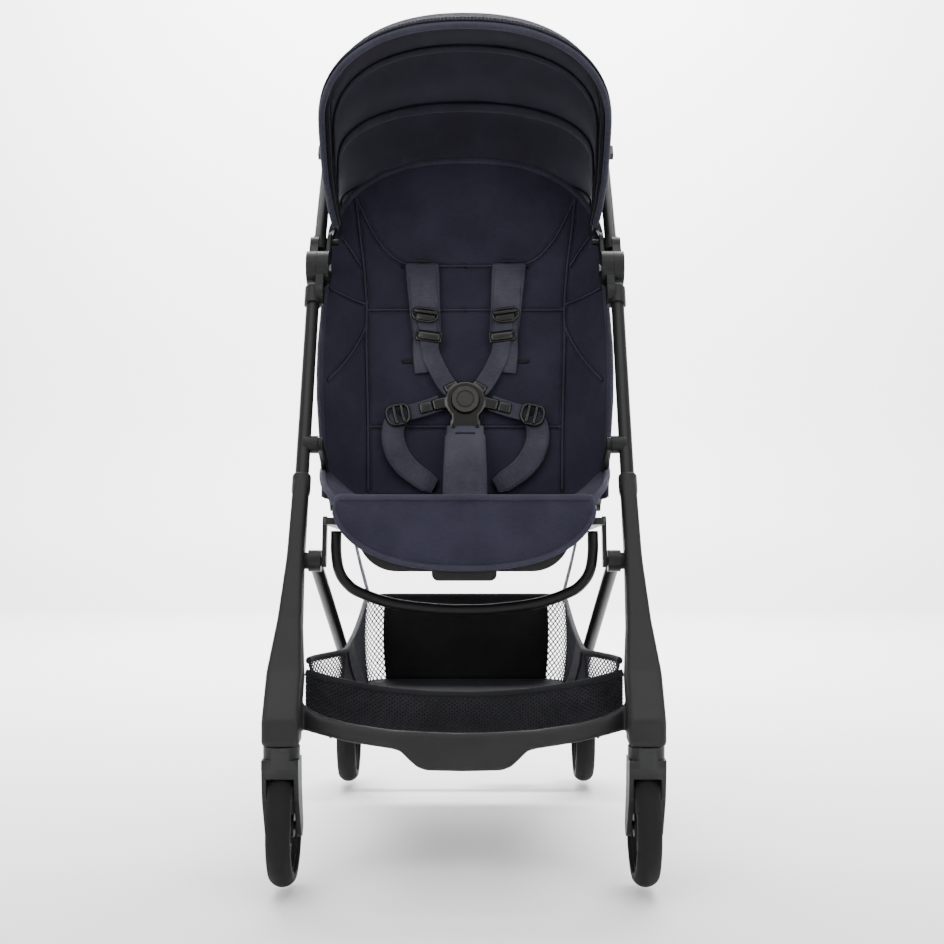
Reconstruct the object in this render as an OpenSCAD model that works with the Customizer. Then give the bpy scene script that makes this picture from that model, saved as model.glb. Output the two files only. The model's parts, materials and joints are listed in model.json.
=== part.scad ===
// Compact folding baby stroller. Millimetres, +Z up, the front faces -Y, +X is the right in the front view.
// Depths ("d") run rearwards from the front axle line; on_ground() centres them on the origin.

/* [Wheels] */
// Distance from the front axles to the rear axles
wheelbase = 580; // [540:5:640]
// Outer diameter of the front wheels
front_wheel_d = 135; // [120:1:145]
// Outer diameter of the rear wheels
rear_wheel_d = 150; // [130:1:160]
// Width of every tyre
tyre_w = 27; // [22:1:28]
// Radial thickness of every tyre
tyre_t = 15; // [11:0.5:18]
// Caster trail, from the swivel line back to the front axle
trail = 22; // [16:1:26]
// Distance of each caster swivel line from the middle
caster_x = 203; // [198:1:215]
// Distance of each rear wheel's middle from the middle
rear_wheel_x = 176.5; // [174:0.5:182]

/* [Frame] */
// Diameter of the front leg tubes
leg_tube_d = 17; // [15:0.5:18]
// Diameter of the push tubes
push_tube_d = 16; // [14:0.5:16]
// Diameter of the rear leg tubes
rear_tube_d = 16; // [12:0.5:18]
// Height of the fold hinge
knee_z = 736; // [700:2:780]
// Depth of the fold hinge
knee_d = 300; // [285:1:320]
// Lean of the front legs above the horizontal, in degrees
leg_lean = 61; // [58:0.5:63]
// Height of the collar where each tube enters its leg casting
collar_z = 448; // [425:1:470]
// Length from the fold hinge to the handlebar
handle_reach = 382; // [372:1:420]
// Rise of the push tubes above the horizontal, in degrees
handle_rise = 49; // [45:0.5:53]
// Height of the rear leg pivots
rear_pivot_z = 360; // [345:1:372]

/* [Seat] */
// Width of the seat cushion
seat_w = 330; // [300:1:330]
// Thickness of the seat cushion
seat_t = 24; // [16:1:26]
// Height of the seat's front edge
seat_z = 437; // [430:1:450]
// Width of the backrest
back_w = 338; // [320:1:338]
// Length of the backrest pad
back_h = 495; // [460:1:500]
// Thickness of the backrest pad
back_t = 24; // [16:1:26]
// Lean of the backrest from the vertical, in degrees
back_lean = 15; // [12:0.5:18]
// Length of the leg rest flap
leg_rest_h = 82; // [60:1:90]

/* [Canopy] */
// Radius of the canopy rim, from its pivot to the crown
canopy_r = 302; // [285:1:306]
// Half of the canopy's width
canopy_half = 186; // [184:0.5:186]
// Wall of each canopy panel
canopy_wall = 5; // [3:0.5:5.5]
// Step from one canopy panel to the next one inside it
canopy_step = 8; // [6.5:0.5:9]

/* [Basket] */
// Width of the basket
basket_w = 292; // [260:1:292]
// Height of the basket's floor
basket_z = 158; // [150:1:165]
// Height of the basket's rear wall
basket_h = 124; // [100:1:132]

/* [Hidden] */
$fn = 48;

// Clearances
run = 0.3;        // between two parts that move past each other
fit = 0.05;       // radial, a bore over its pin
seat_fit = 0.1;   // radial, a tube in its socket

// Overall places
mid_d = (wheelbase + rear_wheel_d / 2 - front_wheel_d / 2) / 2;
front_r = front_wheel_d / 2;
rear_r = rear_wheel_d / 2;
leg_dir = [0, -cos(leg_lean), -sin(leg_lean)];
knee = [0, knee_d, knee_z];
leg_x = 199.5;                                   // middle of the front leg tubes
push_x = 196.4;                                  // middle of the push tubes
function leg_at(z) = [0, knee_d - (knee_z - z) / tan(leg_lean), z];

// Fold hinge, from the inside outwards
bracket_x = [180, 184];
inner_disc_x = [bracket_x[1], 196];
outer_disc_x = [inner_disc_x[1] + run, 209.5];
hinge_r = 23;
hinge_pin_r = 6;
socket_start = 33;                               // from the hinge to the sockets, clear of each other folded
socket_len = 26;
socket_wall = 2.7;
knuckle_wall = 1.8;                              // slimmer, to pass beside the canopy
handle_dir = [0, cos(handle_rise), sin(handle_rise)];

// Accessory socket behind each fold hinge
boss_x = (inner_disc_x[0] + inner_disc_x[1]) / 2;
boss_start = hinge_r + 2;
boss_end = boss_start + 26;
boss_r = 9;
boss_bore_r = 5;
boss_bore_len = 20;

// Front leg castings: depth, height, tilt across the leg, inner x, outer x, depth across
casting_in = 190;
stem_d = -trail;
caster_top = front_wheel_d + 27;                 // underside of the casting
caster_in = caster_x - 21;
caster_out = caster_x + 21;
casting_edge = 6;                                // rounding of the casting's edges
tilt = leg_lean - 90;
casting_sections = [
    [leg_at(collar_z), tilt, casting_in, leg_x + 10, 23],
    [leg_at(rear_pivot_z), tilt, casting_in, leg_x + 11.5, 28],
    [leg_at(290), tilt, casting_in - 2, leg_x + 17, 34],
    [leg_at(234) + [0, -4, 0], tilt / 2, caster_in + 1, caster_out, 42],
    [[0, stem_d + 1, caster_top + 28], 0, caster_in, caster_out, 43],
    [[0, stem_d, caster_top + casting_edge], 0, caster_in, caster_out, 42]
];
collar_r = leg_tube_d / 2 + 3.2;
tube_in = 41;                                    // height of tube inside the casting
stem_r = 7;
stem_len = 24;

// Crossbar between the castings: an arc tilted down and forwards
bar_half = caster_in - 0.5;
bar_sag = 42;
bar_r = (bar_half * bar_half + bar_sag * bar_sag) / (2 * bar_sag);
bar_tilt = 52;
bar_end_z = 197;
bar_end_d = stem_d + 14;

// Seat
seat_front_d = 67;
seat_rear_d = 300;
seat_slope = 4;
pan_t = 8;
pan_half = seat_w / 2;
hinge_h = [0, 335, 425];                         // recline hinge
rod_r = 5;
rail_x = [176, 182];
rail_start = leg_at(500);
cushion_gap = 0.3;
rest_pin = [0, 60, seat_z - 8];                  // leg rest hinge
rest_pin_r = 4;
lug_z = seat_z - seat_t - 6;                     // height of the lugs that carry its rod
rest_half = 153;
rest_t = 18;
board_rest_t = 4.7;
u_tube_d = 12;
u_half = 156;
u_drop = 82;
u_corner = 32;
u_depth = 112;

// Rear legs
rear_pivot = [0, leg_at(rear_pivot_z)[1] + 8, rear_pivot_z];
rear_pin_r = 5;
rear_eye_x = [171, 186];
link_x = [pan_half, rear_eye_x[0] - 1];
rear_axle_p = [0, wheelbase, rear_r];
rear_end_x = rear_wheel_x - tyre_w / 2 - 14.5;   // middle of the rear legs' lower ends
axle_bar_r = 8;
wheel_pin_r = 5;

// Canopy
pivot = [0, knee_d + 30, knee_z + 39];
pivot_r = 4;
hub_r = 13;
arch_r = 212;                                    // radius of the crown in the rim's own plane
side_wall = 2.4;
panel_inset = 3.2;                               // how much narrower each panel is than the one in front
rear_span = [26, 79];
mid_span = [76, 103.5];
visor_span = [101, 123];
bow_span = 2.5;

// Handle
bar_bend_r = 48;
grip_r = 14.5;
grip_from = 40;
grip_to = 138;
housing = [76, 40, 30];
button_size = [30, 16, 7];
button_travel = 3;

// Backrest, in its own plane: +Y is up the back, +Z is towards the child
board_t = 7;
back_gap = 2;
pad_gap = 0.3;
shell_half = 158;
head_r = 205;
wing_t = 5.5;
buckle_low = 96;
button_r = 18;
crotch_d = 242;
// A point of the back's plane, h up it and f in front of it, in depth and height
function back_point(h, f) =
    [0, h * sin(back_lean) - f * cos(back_lean), h * cos(back_lean) + f * sin(back_lean)];

// Basket
basket_front_d = 50;
basket_rear_d = 520;
cloth = 3;
front_low_r = 400;
front_top_r = 300;
front_dip = 54;
front_half = (casting_sections[2][2] + casting_sections[3][2]) / 2 - run;
strap_r = 1.5;

module on_ground() translate([0, -mid_d, 0]) children();
module sides(s) mirror([s < 0 ? 1 : 0, 0, 0]) children();

// A round rod from p to q
module rod(p, q, r) {
    v = q - p;
    translate(p) rotate([0, acos(v[2] / norm(v)), atan2(v[1], v[0])]) cylinder(r = r, h = norm(v));
}

// A round bar along X from x[0] to x[1] through p
module across(p, x, r) translate([x[0], p[1], p[2]]) rotate([0, 90, 0]) cylinder(r = r, h = x[1] - x[0]);

// A flat plate between two heights of X, outlined by its children in the side view
module plate(x) translate([x[0], 0, 0]) rotate([90, 0, 90]) linear_extrude(x[1] - x[0]) children();

// A flat link between two points of the side view: eyes of width w with a slight waist between them
module link_outline(p, q, w) {
    v = q - p;
    waist = 0.9 * w;
    translate([p[1], p[2]]) circle(d = w);
    translate([q[1], q[2]]) circle(d = w);
    translate([p[1], p[2]]) rotate(atan2(v[2], v[1])) translate([0, -waist / 2]) square([norm(v), waist]);
}

module rounded_outline(w, h, r) {
    for (x = [-1, 1], y = [0, 1]) translate([x * (w / 2 - r), r + y * (h - 2 * r)]) circle(r);
    translate([-w / 2 + r, 0]) square([w - 2 * r, h]);
    translate([-w / 2, r]) square([w, h - 2 * r]);
}

// ---- Front legs ----
module casting_section(s) {
    reach = s[4] / 2 - casting_edge;
    for (x = [s[2] + casting_edge, s[3] - casting_edge], e = [-reach, reach])
        translate([x, s[0][1] + e * cos(s[1]), s[0][2] + e * sin(s[1])]) sphere(casting_edge, $fn = 20);
}

// A rod along the leg's line between two heights
module leg_rod(low, high, r) rod([leg_x, 0, 0] + leg_at(low), [leg_x, 0, 0] + leg_at(high), r);

module front_leg(s) color("#2c2c2e") sides(s) difference() {
    union() {
        for (i = [0 : len(casting_sections) - 2]) hull() {
            casting_section(casting_sections[i]);
            casting_section(casting_sections[i + 1]);
        }
        translate([caster_x, stem_d, caster_top]) cylinder(r = 20, h = 24);
        leg_rod(collar_z - 8, collar_z + 14, collar_r);
    }
    leg_rod(collar_z - tube_in - 1, collar_z + 40, leg_tube_d / 2 + seat_fit);
    translate([caster_x, stem_d, caster_top - 1]) cylinder(r = stem_r + fit, h = stem_len + 2);
}

module leg_tube(s) color("#1b1b1d") sides(s)
    leg_rod(collar_z - tube_in, knee_z - (socket_start + 4) * sin(leg_lean), leg_tube_d / 2);

module front_crossbar() color("#2f2f31") translate([0, bar_end_d, bar_end_z]) rotate([bar_tilt, 0, 0]) {
    intersection() {
        translate([0, bar_r - bar_sag, 0]) rotate_extrude($fn = 180)
            translate([bar_r, 0]) rotate(-bar_tilt / 2) {
                square([16, 24], center = true);
                translate([0, 12]) circle(8);
                translate([0, -12]) circle(8);
            }
        translate([-bar_half, -3 * bar_sag, -60]) cube([2 * bar_half, 3.6 * bar_sag, 120]);
    }
    crossbar_tab();
}

// The shallow chin under the middle of the crossbar, with a raised generic bar on it
module crossbar_tab() translate([0, -bar_sag - 2, -4]) rotate([-bar_tilt, 0, 0]) {
    translate([0, 5, -28]) rotate([90, 0, 0]) linear_extrude(13) rounded_outline(116, 30, 9);
    translate([0, -8, -17]) rotate([90, 0, 0]) linear_extrude(1.2) rounded_outline(64, 6, 2.9);
}

// ---- Fold hinge ----
module hinge_outline(dir) link_outline(knee, knee + (socket_start + 8) * dir, 2 * hinge_r - 16);

// A rod from start to end along a line that leaves the fold hinge at height x of the X axis
module from_knee(x, dir, start, end, r) rod([x, 0, 0] + knee + start * dir, [x, 0, 0] + knee + end * dir, r);

module hinge_housing(s) color("#19191a") sides(s) difference() {
    union() {
        across(knee, inner_disc_x, hinge_r);
        plate([inner_disc_x[0] + 2, inner_disc_x[1]]) hinge_outline(leg_dir);
        from_knee(leg_x, leg_dir, socket_start, socket_start + socket_len, leg_tube_d / 2 + socket_wall);
        plate([inner_disc_x[0] + 2, inner_disc_x[1]]) link_outline(knee, knee + [0, boss_start + 6, 0], 14);
        from_knee(boss_x, [0, 1, 0], boss_start, boss_end, boss_r);
    }
    from_knee(boss_x, [0, 1, 0], boss_end - boss_bore_len, boss_end + 1, boss_bore_r);
    from_knee(leg_x, leg_dir, socket_start + 3, 90, leg_tube_d / 2 + seat_fit);
    across(knee, [inner_disc_x[0] - 1, inner_disc_x[1] + 1], hinge_pin_r + fit);
}

module fold_pins() color("#3a3a3c") for (s = [-1, 1]) sides(s)
    across(knee, [bracket_x[0] - 2.5, outer_disc_x[1] - 1.5], hinge_pin_r);

module handle_knuckle(s) color("#19191a") sides(s) difference() {
    union() {
        across(knee, outer_disc_x, hinge_r);
        plate([outer_disc_x[0], outer_disc_x[1] - 2]) hinge_outline(handle_dir);
        from_knee(push_x, handle_dir, socket_start, socket_start + socket_len, push_tube_d / 2 + knuckle_wall);
    }
    from_knee(push_x, handle_dir, socket_start + 3, 90, push_tube_d / 2 + seat_fit);
    across(knee, [outer_disc_x[0] - 1, outer_disc_x[1] - 1.4], hinge_pin_r + fit);
}

// ---- Seat structure ----
module seat_bracket(s) color("#202022") sides(s) difference() {
    union() {
        plate(bracket_x) {
            link_outline(knee, pivot, 2 * hub_r);
            translate([knee[1], knee[2]]) circle(hinge_r);
            link_outline(pivot, pivot + 52 * [0, cos(20), sin(20)], 14);
        }
        across(pivot, [170.5, bracket_x[0]], pivot_r);
    }
    across(knee, [bracket_x[0] - 1, bracket_x[1] + 1], hinge_pin_r + fit);
}

module seat_rail(s) color("#202022") sides(s) difference() {
    union() {
        plate(rail_x) {
            link_outline(rail_start, hinge_h, 18);
            translate([hinge_h[1], hinge_h[2]]) circle(12);
        }
        across(rail_start, [rail_x[1], leg_x], 11);
    }
    leg_rod(rail_start[2] - 60, rail_start[2] + 60, leg_tube_d / 2 + seat_fit);
}

module recline_rod() color("#3a3a3c") across(hinge_h, [-rail_x[0], rail_x[0]], rod_r);

// The seat plane runs from its front edge back and slightly down
module seat_plane() translate([0, seat_front_d, seat_z]) rotate([-seat_slope, 0, 0]) children();

seat_depth = (seat_rear_d - seat_front_d) / cos(seat_slope);

module seat_pan() color("#1d1d1f") {
    seat_plane() translate([0, 0, -seat_t - pan_t - cushion_gap]) {
        linear_extrude(pan_t) rounded_outline(seat_w, seat_depth, 10);
        for (x = [-0.6 * pan_half : 0.3 * seat_w : 0.6 * pan_half])
            translate([x - 3, 20, -6]) cube([6, seat_depth - 40, 6.5]);
    }
    for (s = [-1, 1]) sides(s) {
        difference() {
            plate([120, 130]) {
                link_outline([0, seat_rear_d - 10, 386], [0, hinge_h[1] - 13, 390], 14);
                link_outline([0, hinge_h[1] - 13, 390], hinge_h, 16);
            }
            across(hinge_h, [119, 131], rod_r + fit);
        }
        plate([128, 136]) {
            link_outline([0, seat_front_d + 8, lug_z], [0, rest_pin[1], lug_z], 7);
            link_outline([0, rest_pin[1], lug_z], rest_pin, 7);
        }
    }
    across(rest_pin, [-136, 136], rest_pin_r);
}

module seat_cushion() color("#26263a") seat_plane() translate([0, 0, -seat_t])
    linear_extrude(seat_t) rounded_outline(seat_w, seat_depth - 4, 22);

module seat_front_tube() color("#151516")
    translate([0, u_depth, seat_z - seat_t - pan_t - u_drop - 7]) rotate([3, 0, 0]) {
        for (s = [-1, 1]) sides(s) {
            translate([u_half, 0, u_corner]) cylinder(d = u_tube_d, h = u_drop - u_corner + 3);
            translate([u_half - u_corner, 0, u_corner]) rotate([-90, 0, 0])
                rotate_extrude(angle = 90) translate([u_corner, 0]) circle(d = u_tube_d);
        }
        translate([-u_half + u_corner, 0, 0]) rotate([0, 90, 0])
            cylinder(d = u_tube_d, h = 2 * (u_half - u_corner));
    }

// Link from each rear pivot up to the side of the seat pan, with the pivot pin
module seat_links() color("#202022") for (s = [-1, 1]) sides(s) {
    plate(link_x) link_outline(rear_pivot, [0, rear_pivot[1] + 12, seat_z - seat_t - 8], 16);
    across(rear_pivot, [link_x[1], rear_eye_x[1] + run], rear_pin_r);
    across(rear_pivot, [rear_eye_x[1] + run, casting_in], 10);
}

// A half-round flap hanging down from height top, t thick, its rear face at depth d
module flap(w, h, r, top, d, t) translate([0, d, top - h]) rotate([90, 0, 0]) linear_extrude(t) difference() {
    rounded_outline(w, h + r, r);
    translate([-w / 2 - 1, h]) square([w + 2, r + 1]);
}

module leg_rest_pad() color("#26263a") flap(2 * rest_half, leg_rest_h, 58, seat_z, rest_pin[1] - 4, rest_t);

module leg_rest_board() color("#1d1d1f") difference() {
    union() {
        flap(250, leg_rest_h + 3, 46, seat_z - 2, rest_pin[1] + 1, board_rest_t);
        flap(76, 30, 8, seat_z - leg_rest_h + 14, rest_pin[1] + 1, board_rest_t);
        for (x = [-100, 88]) across(rest_pin, [x, x + 12], rest_pin_r + 2.2);
    }
    across(rest_pin, [-140, 140], rest_pin_r + fit);
    translate([-140, rest_pin[1] - 20, rest_pin[2] - 15]) cube([280, 20 + 1 - board_rest_t, 40]);
}

// ---- Canopy ----
// Arch of a canopy panel in its own plane: X is the distance from the pivot line, Y is across
module arch_region(k, from) intersection() {
    translate([canopy_r - arch_r, 0]) circle(arch_r - k * canopy_step, $fn = 120);
    translate([from, -canopy_half + k * panel_inset]) square([canopy_r, 2 * (canopy_half - k * panel_inset)]);
}

module arch_outline(k, from) difference() {
    arch_region(k, from);
    intersection() {
        translate([canopy_r - arch_r, 0]) circle(arch_r - k * canopy_step - canopy_wall, $fn = 120);
        translate([from - 1, -canopy_half + k * panel_inset + side_wall])
            square([canopy_r, 2 * (canopy_half - k * panel_inset - side_wall)]);
    }
}

// Turns a panel's outline about the pivot line, from one angle above the rear to the other
module canopy_sector(span) translate(pivot) rotate([90, 0, 90]) rotate(span[0])
    rotate_extrude(angle = span[1] - span[0], $fn = 120) children();

module canopy_rear_panel() color("#20202f") canopy_sector(rear_span) arch_outline(2, 32);

module canopy_mid_panel() color("#20202f") canopy_sector([mid_span[0], mid_span[1] - bow_span])
    arch_outline(1, 34);

module canopy_visor() color("#26263a") canopy_sector(visor_span) arch_outline(0, 26);

// Band along a panel's front edge with its two arms and pivot eyes
module canopy_bow(k, end, eye_x) {
    middle = end - bow_span / 2;
    arm = [0, cos(middle), sin(middle)];
    canopy_sector([end - bow_span, end]) arch_outline(k, 18);
    for (s = [-1, 1]) sides(s) difference() {
        union() {
            across(pivot, eye_x, hub_r - 1);
            plate(eye_x) link_outline(pivot, pivot + 21 * arm, 2.5);
            plate([eye_x[0], canopy_half - k * panel_inset - 0.4])
                link_outline(pivot + 18 * arm, pivot + 25 * arm, 2.5);
        }
        across(pivot, [eye_x[0] - 1, eye_x[1] + 1], pivot_r + fit);
    }
}

module canopy_mid_bow() color("#151516") canopy_bow(1, mid_span[1], [171.5, 175]);

module canopy_front_bow() color("#34343f") canopy_bow(0, visor_span[1] + bow_span + 0.2, [175.4, 179]);

// ---- Handle ----
// The handle's plane: +Y runs along the push tubes from the fold hinge
module handle_plane() translate(knee) rotate([handle_rise, 0, 0]) children();

module push_tube(s) color("#1b1b1d") sides(s)
    rod([push_x, 0, 0] + knee + (socket_start + 4) * handle_dir,
        [push_x, 0, 0] + knee + (handle_reach - bar_bend_r - 20) * handle_dir, push_tube_d / 2);

module handlebar() color("#1b1b1d") handle_plane() {
    for (s = [-1, 1]) sides(s) {
        translate([push_x, handle_reach - bar_bend_r - 20, 0]) rotate([-90, 0, 0])
            cylinder(d = push_tube_d, h = 20);
        translate([push_x - bar_bend_r, handle_reach - bar_bend_r, 0])
            rotate_extrude(angle = 90) translate([bar_bend_r, 0]) circle(d = push_tube_d);
    }
    translate([-push_x + bar_bend_r, handle_reach, 0]) rotate([0, 90, 0])
        cylinder(d = push_tube_d, h = 2 * (push_x - bar_bend_r));
}

module handle_grips() color("#151517") handle_plane() for (s = [-1, 1]) sides(s)
    translate([grip_from, handle_reach, 0]) rotate([0, 90, 0]) difference() {
        cylinder(r = grip_r, h = grip_to - grip_from);
        translate([0, 0, -1]) cylinder(d = push_tube_d + 2 * seat_fit, h = grip_to);
    }

module handle_housing() color("#202022") handle_plane() translate([0, handle_reach, 0]) difference() {
    translate([0, -housing[1] / 2, -housing[2] / 2]) linear_extrude(housing[2])
        rounded_outline(housing[0], housing[1], 12);
    translate([-housing[0], 0, 0]) rotate([0, 90, 0])
        cylinder(d = push_tube_d + 2 * seat_fit, h = 2 * housing[0]);
    translate([-button_size[0] / 2 - run, -button_size[1] / 2 - run, housing[2] / 2 - 5.5])
        cube([button_size[0] + 2 * run, button_size[1] + 2 * run, 20]);
}

module fold_button() color("#6a6a6e") handle_plane()
    translate([0, handle_reach - button_size[1] / 2, housing[2] / 2 - 5.5 + button_travel + run]) {
        difference() {
            translate([-button_size[0] / 2, 0, 0]) cube(button_size);
            for (x = [-8, 0, 8]) translate([x - 0.8, 3, button_size[2] - 0.8])
                cube([1.6, button_size[1] - 6, 2]);
        }
    }

module canopy_clips() color("#4a4a4e") for (s = [-1, 1]) sides(s) handle_plane() translate([push_x, 238, 0]) {
    rotate([-90, 0, 0]) difference() {
        cylinder(d = push_tube_d + 3, h = 24);
        translate([0, 0, -1]) cylinder(d = push_tube_d + 2 * seat_fit, h = 26);
    }
    translate([push_tube_d / 2 + 1, 2, -5]) cube([6, 20, 10]);
}

// ---- Rear legs ----
module rear_leg(s) color("#1b1b1d") sides(s) {
    top = [(rear_eye_x[0] + rear_eye_x[1]) / 2, rear_pivot[1], rear_pivot[2]];
    low = [rear_end_x, rear_axle_p[1], rear_axle_p[2]];
    along = (low - top) / norm(low - top);
    difference() {
        union() {
            across(rear_pivot, rear_eye_x, 13);
            rod(top + 8 * along, low, rear_tube_d / 2);
            across(rear_axle_p, [rear_end_x - 9, rear_end_x + 9], 17);
        }
        across(rear_pivot, [rear_eye_x[0] - 1, rear_eye_x[1] + 1], rear_pin_r + fit);
        across(rear_axle_p, [rear_end_x - 10, rear_end_x + 10], axle_bar_r + seat_fit);
    }
}

// Cross tube with a wheel pin at each end
module rear_axle() color("#1b1b1d") {
    inner = rear_end_x + 9;
    outer = rear_wheel_x + tyre_w / 2 - 3;
    across(rear_axle_p, [-inner, inner], axle_bar_r);
    for (s = [-1, 1]) sides(s) {
        across(rear_axle_p, [inner, outer], wheel_pin_r);
        across(rear_axle_p, [outer, outer + 1.6], wheel_pin_r + 3);
    }
}

module brake_pedal() color("#2b2b2d") difference() {
    union() {
        across(rear_axle_p, [40, 100], axle_bar_r + 4);
        translate([36, rear_axle_p[1] + 4, rear_axle_p[2] + 4]) rotate([8, 0, 0])
            linear_extrude(6) translate([34, 0]) rounded_outline(76, 44, 8);
    }
    across(rear_axle_p, [30, 110], axle_bar_r + fit);
}

// ---- Wheels ----
// Section of a tyre: X is the radius
module tyre_outline(r) {
    translate([r - tyre_t, -tyre_w / 2 + 4]) square([tyre_t - 8, tyre_w - 8]);
    intersection() {
        translate([r - 16, 0]) circle(16, $fn = 64);
        translate([r - tyre_t, -tyre_w / 2]) square([tyre_t + 1, tyre_w]);
    }
}

module tyre(s, p, x, r) color("#232325") sides(s) translate([x, p[1], p[2]]) rotate([0, 90, 0])
    rotate_extrude($fn = 120) tyre_outline(r);

// Hub, dished web with spoke windows and a rim ring inside the tyre
module rim(s, p, x, r) color("#1a1a1c") sides(s) translate([x, p[1], p[2]]) rotate([0, 90, 0]) difference() {
    union() {
        translate([0, 0, -tyre_w / 2 + 4]) cylinder(r = r - tyre_t - 0.05, h = tyre_w - 8);
        translate([0, 0, -tyre_w / 2 + 2]) cylinder(r = wheel_pin_r + 8, h = tyre_w - 6);
    }
    for (z = [-tyre_w / 2, 5]) translate([0, 0, z]) difference() {
        cylinder(r = r - tyre_t - 4, h = tyre_w / 2 - 5);
        translate([0, 0, -1]) cylinder(r = wheel_pin_r + 8, h = tyre_w);
    }
    for (a = [0 : 60 : 300]) rotate(a) translate([(r - tyre_t + wheel_pin_r + 4) / 2, 0, -tyre_w])
        cylinder(r = (r - tyre_t - wheel_pin_r - 12) / 3, h = 2 * tyre_w);
    translate([0, 0, -tyre_w]) cylinder(r = wheel_pin_r + fit, h = 2 * tyre_w);
}

front_axle_p = [0, 0, front_r];
fork_half = 20.5;
fork_arm = 5;

module caster_fork(s) color("#242426") sides(s) {
    difference() {
        union() {
            translate([caster_x, stem_d, front_wheel_d + 3])
                cylinder(r = fork_half, h = caster_top - run - front_wheel_d - 3);
            plate([caster_x - fork_half, caster_x + fork_half]) fork_outline();
            translate([caster_x, stem_d, caster_top - run - 1]) cylinder(r = stem_r, h = stem_len + 1);
        }
        plate([caster_x - fork_half + fork_arm, caster_x + fork_half - fork_arm])
            translate([front_axle_p[1], front_axle_p[2]]) circle(front_r + 3, $fn = 120);
    }
    across(front_axle_p, [caster_x - fork_half + fork_arm, caster_x + fork_half - fork_arm], wheel_pin_r);
}

// Side outline of a caster fork: a crown over the wheel that narrows down to the axle
module fork_outline() {
    hull() {
        translate([stem_d, front_wheel_d + 8]) square([36, 10], center = true);
        translate([stem_d + 4, front_r + 42]) circle(17);
    }
    hull() {
        translate([stem_d + 4, front_r + 42]) circle(17);
        translate([front_axle_p[1], front_axle_p[2]]) circle(12);
    }
}

// ---- Backrest ----
// The back's plane: +Y up the back from the recline hinge, +Z towards the child
module back_plane() translate(hinge_h) rotate([90 - back_lean, 0, 0]) children();

// Outline of a board or pad on the back: straight sides under a round head end
module back_outline(half, low, high) {
    intersection() {
        translate([0, high - head_r]) circle(head_r, $fn = 120);
        translate([-half, high - head_r]) square([2 * half, head_r]);
    }
    translate([-half, low]) square([2 * half, high - head_r - low]);
}

module back_shell() color("#1d1d1f") back_plane() difference() {
    union() {
        translate([0, 0, back_gap]) linear_extrude(board_t) back_outline(shell_half, 14, back_h - 22);
        for (s = [-1, 1]) sides(s) rotate([90, 0, 90]) translate([0, 0, 138]) linear_extrude(12) {
            circle(9);
            translate([-5, back_gap]) square([25, board_t]);
        }
        for (x = [-70, 70]) translate([x - 4, 30, -6]) cube([8, back_h - 130, 9]);
    }
    rotate([0, 90, 0]) translate([0, 0, -170]) cylinder(r = rod_r + fit, h = 340);
}

module back_pad() color("#26263a") back_plane() translate([0, 0, back_gap + board_t + pad_gap])
    linear_extrude(back_t) back_outline(back_w / 2, 6, back_h);

// Cloth wings that stand forward from the pad's edges
module side_wings() color("#26263a") back_plane() for (s = [-1, 1]) sides(s)
    translate([back_w / 2 + pad_gap, 0, back_gap + board_t]) rotate([0, -90, 0]) mirror([0, 0, 1])
        linear_extrude(wing_t) polygon([[0, 50], [70, 62], [104, 110], [100, 190], [40, 300], [0, 330]]);

module harness_base() back_plane() translate([0, 0, back_gap + board_t + 2 * pad_gap + back_t]) children();

// A flat strap between two points of the back's plane, w wide and t thick
module strap(p, q, w, t, lift) {
    v = q - p;
    translate([p[0], p[1], lift]) rotate(atan2(v[1], v[0]) - 90) translate([-w / 2, 0, 0])
        cube([w, norm(v), t]);
}

// Shoulder pads with their webbing, and the hip straps
module harness_straps() color("#40404d") harness_base() for (s = [-1, 1]) sides(s) {
    strap([60, 330], [50, 204], 46, 7, 0);
    strap([49, 203], [27, buckle_low + 60], 25, 2.5, 0);
    strap([88, buckle_low + 8], [84, buckle_low - 42], 30, 8, 0);
    strap([82, buckle_low - 43], [52, buckle_low - 66], 26, 6, 0);
}

// Ladder-lock adjusters on the shoulder straps and the hip straps' adjusters with their tongues
module strap_fittings() color("#1a1a1b") harness_base() for (s = [-1, 1]) sides(s) {
    for (y = [209, 242]) translate([33, y, 7.2]) difference() {
        cube([38, 18, 5]);
        translate([6, 6, -1]) cube([26, 5, 7]);
    }
    translate([74, buckle_low + 9.5, 0.6]) cube([28, 20, 9]);
}

// Round buckle body with a neck below it and a socket for its button
module harness_buckle() color("#161616") harness_base() translate([0, buckle_low, 0.6]) difference() {
    linear_extrude(14) {
        translate([0, 34]) circle(26);
        translate([-21, 0]) square([42, 30]);
        translate([-58, 17]) square([116, 18]);
        for (x = [-14, 14]) translate([x, 46]) square([22, 30], center = true);
    }
    translate([0, 34, 8]) cylinder(r = button_r + run, h = 20);
}

module buckle_button() color("#2a2825") harness_base()
    translate([0, buckle_low + 34, 9 + button_travel + run]) difference() {
        cylinder(r = button_r, h = 6);
        translate([0, 0, 4.8]) difference() {
            cylinder(r = 12, h = 4);
            translate([0, 0, -1]) cylinder(r = 10.4, h = 6);
        }
    }

// Crotch strap from the seat cushion up to the buckle
module crotch_strap() color("#40404d") {
    low = [0, crotch_d, seat_z - (crotch_d + 3 - seat_front_d) * tan(seat_slope) + 2.9];
    high = hinge_h + back_point(buckle_low - 2, back_gap + board_t + back_t + 8.2);
    v = high - low;
    translate(low) rotate([atan2(v[2], v[1]), 0, 0]) translate([-27, 0, -4]) cube([54, norm(v), 8]);
}

// ---- Basket ----
module basket_floor() color("#161617") translate([-basket_w / 2, basket_front_d + cloth + run, basket_z])
    cube([basket_w, basket_rear_d - basket_front_d - cloth - 2 * run, cloth]);

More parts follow.
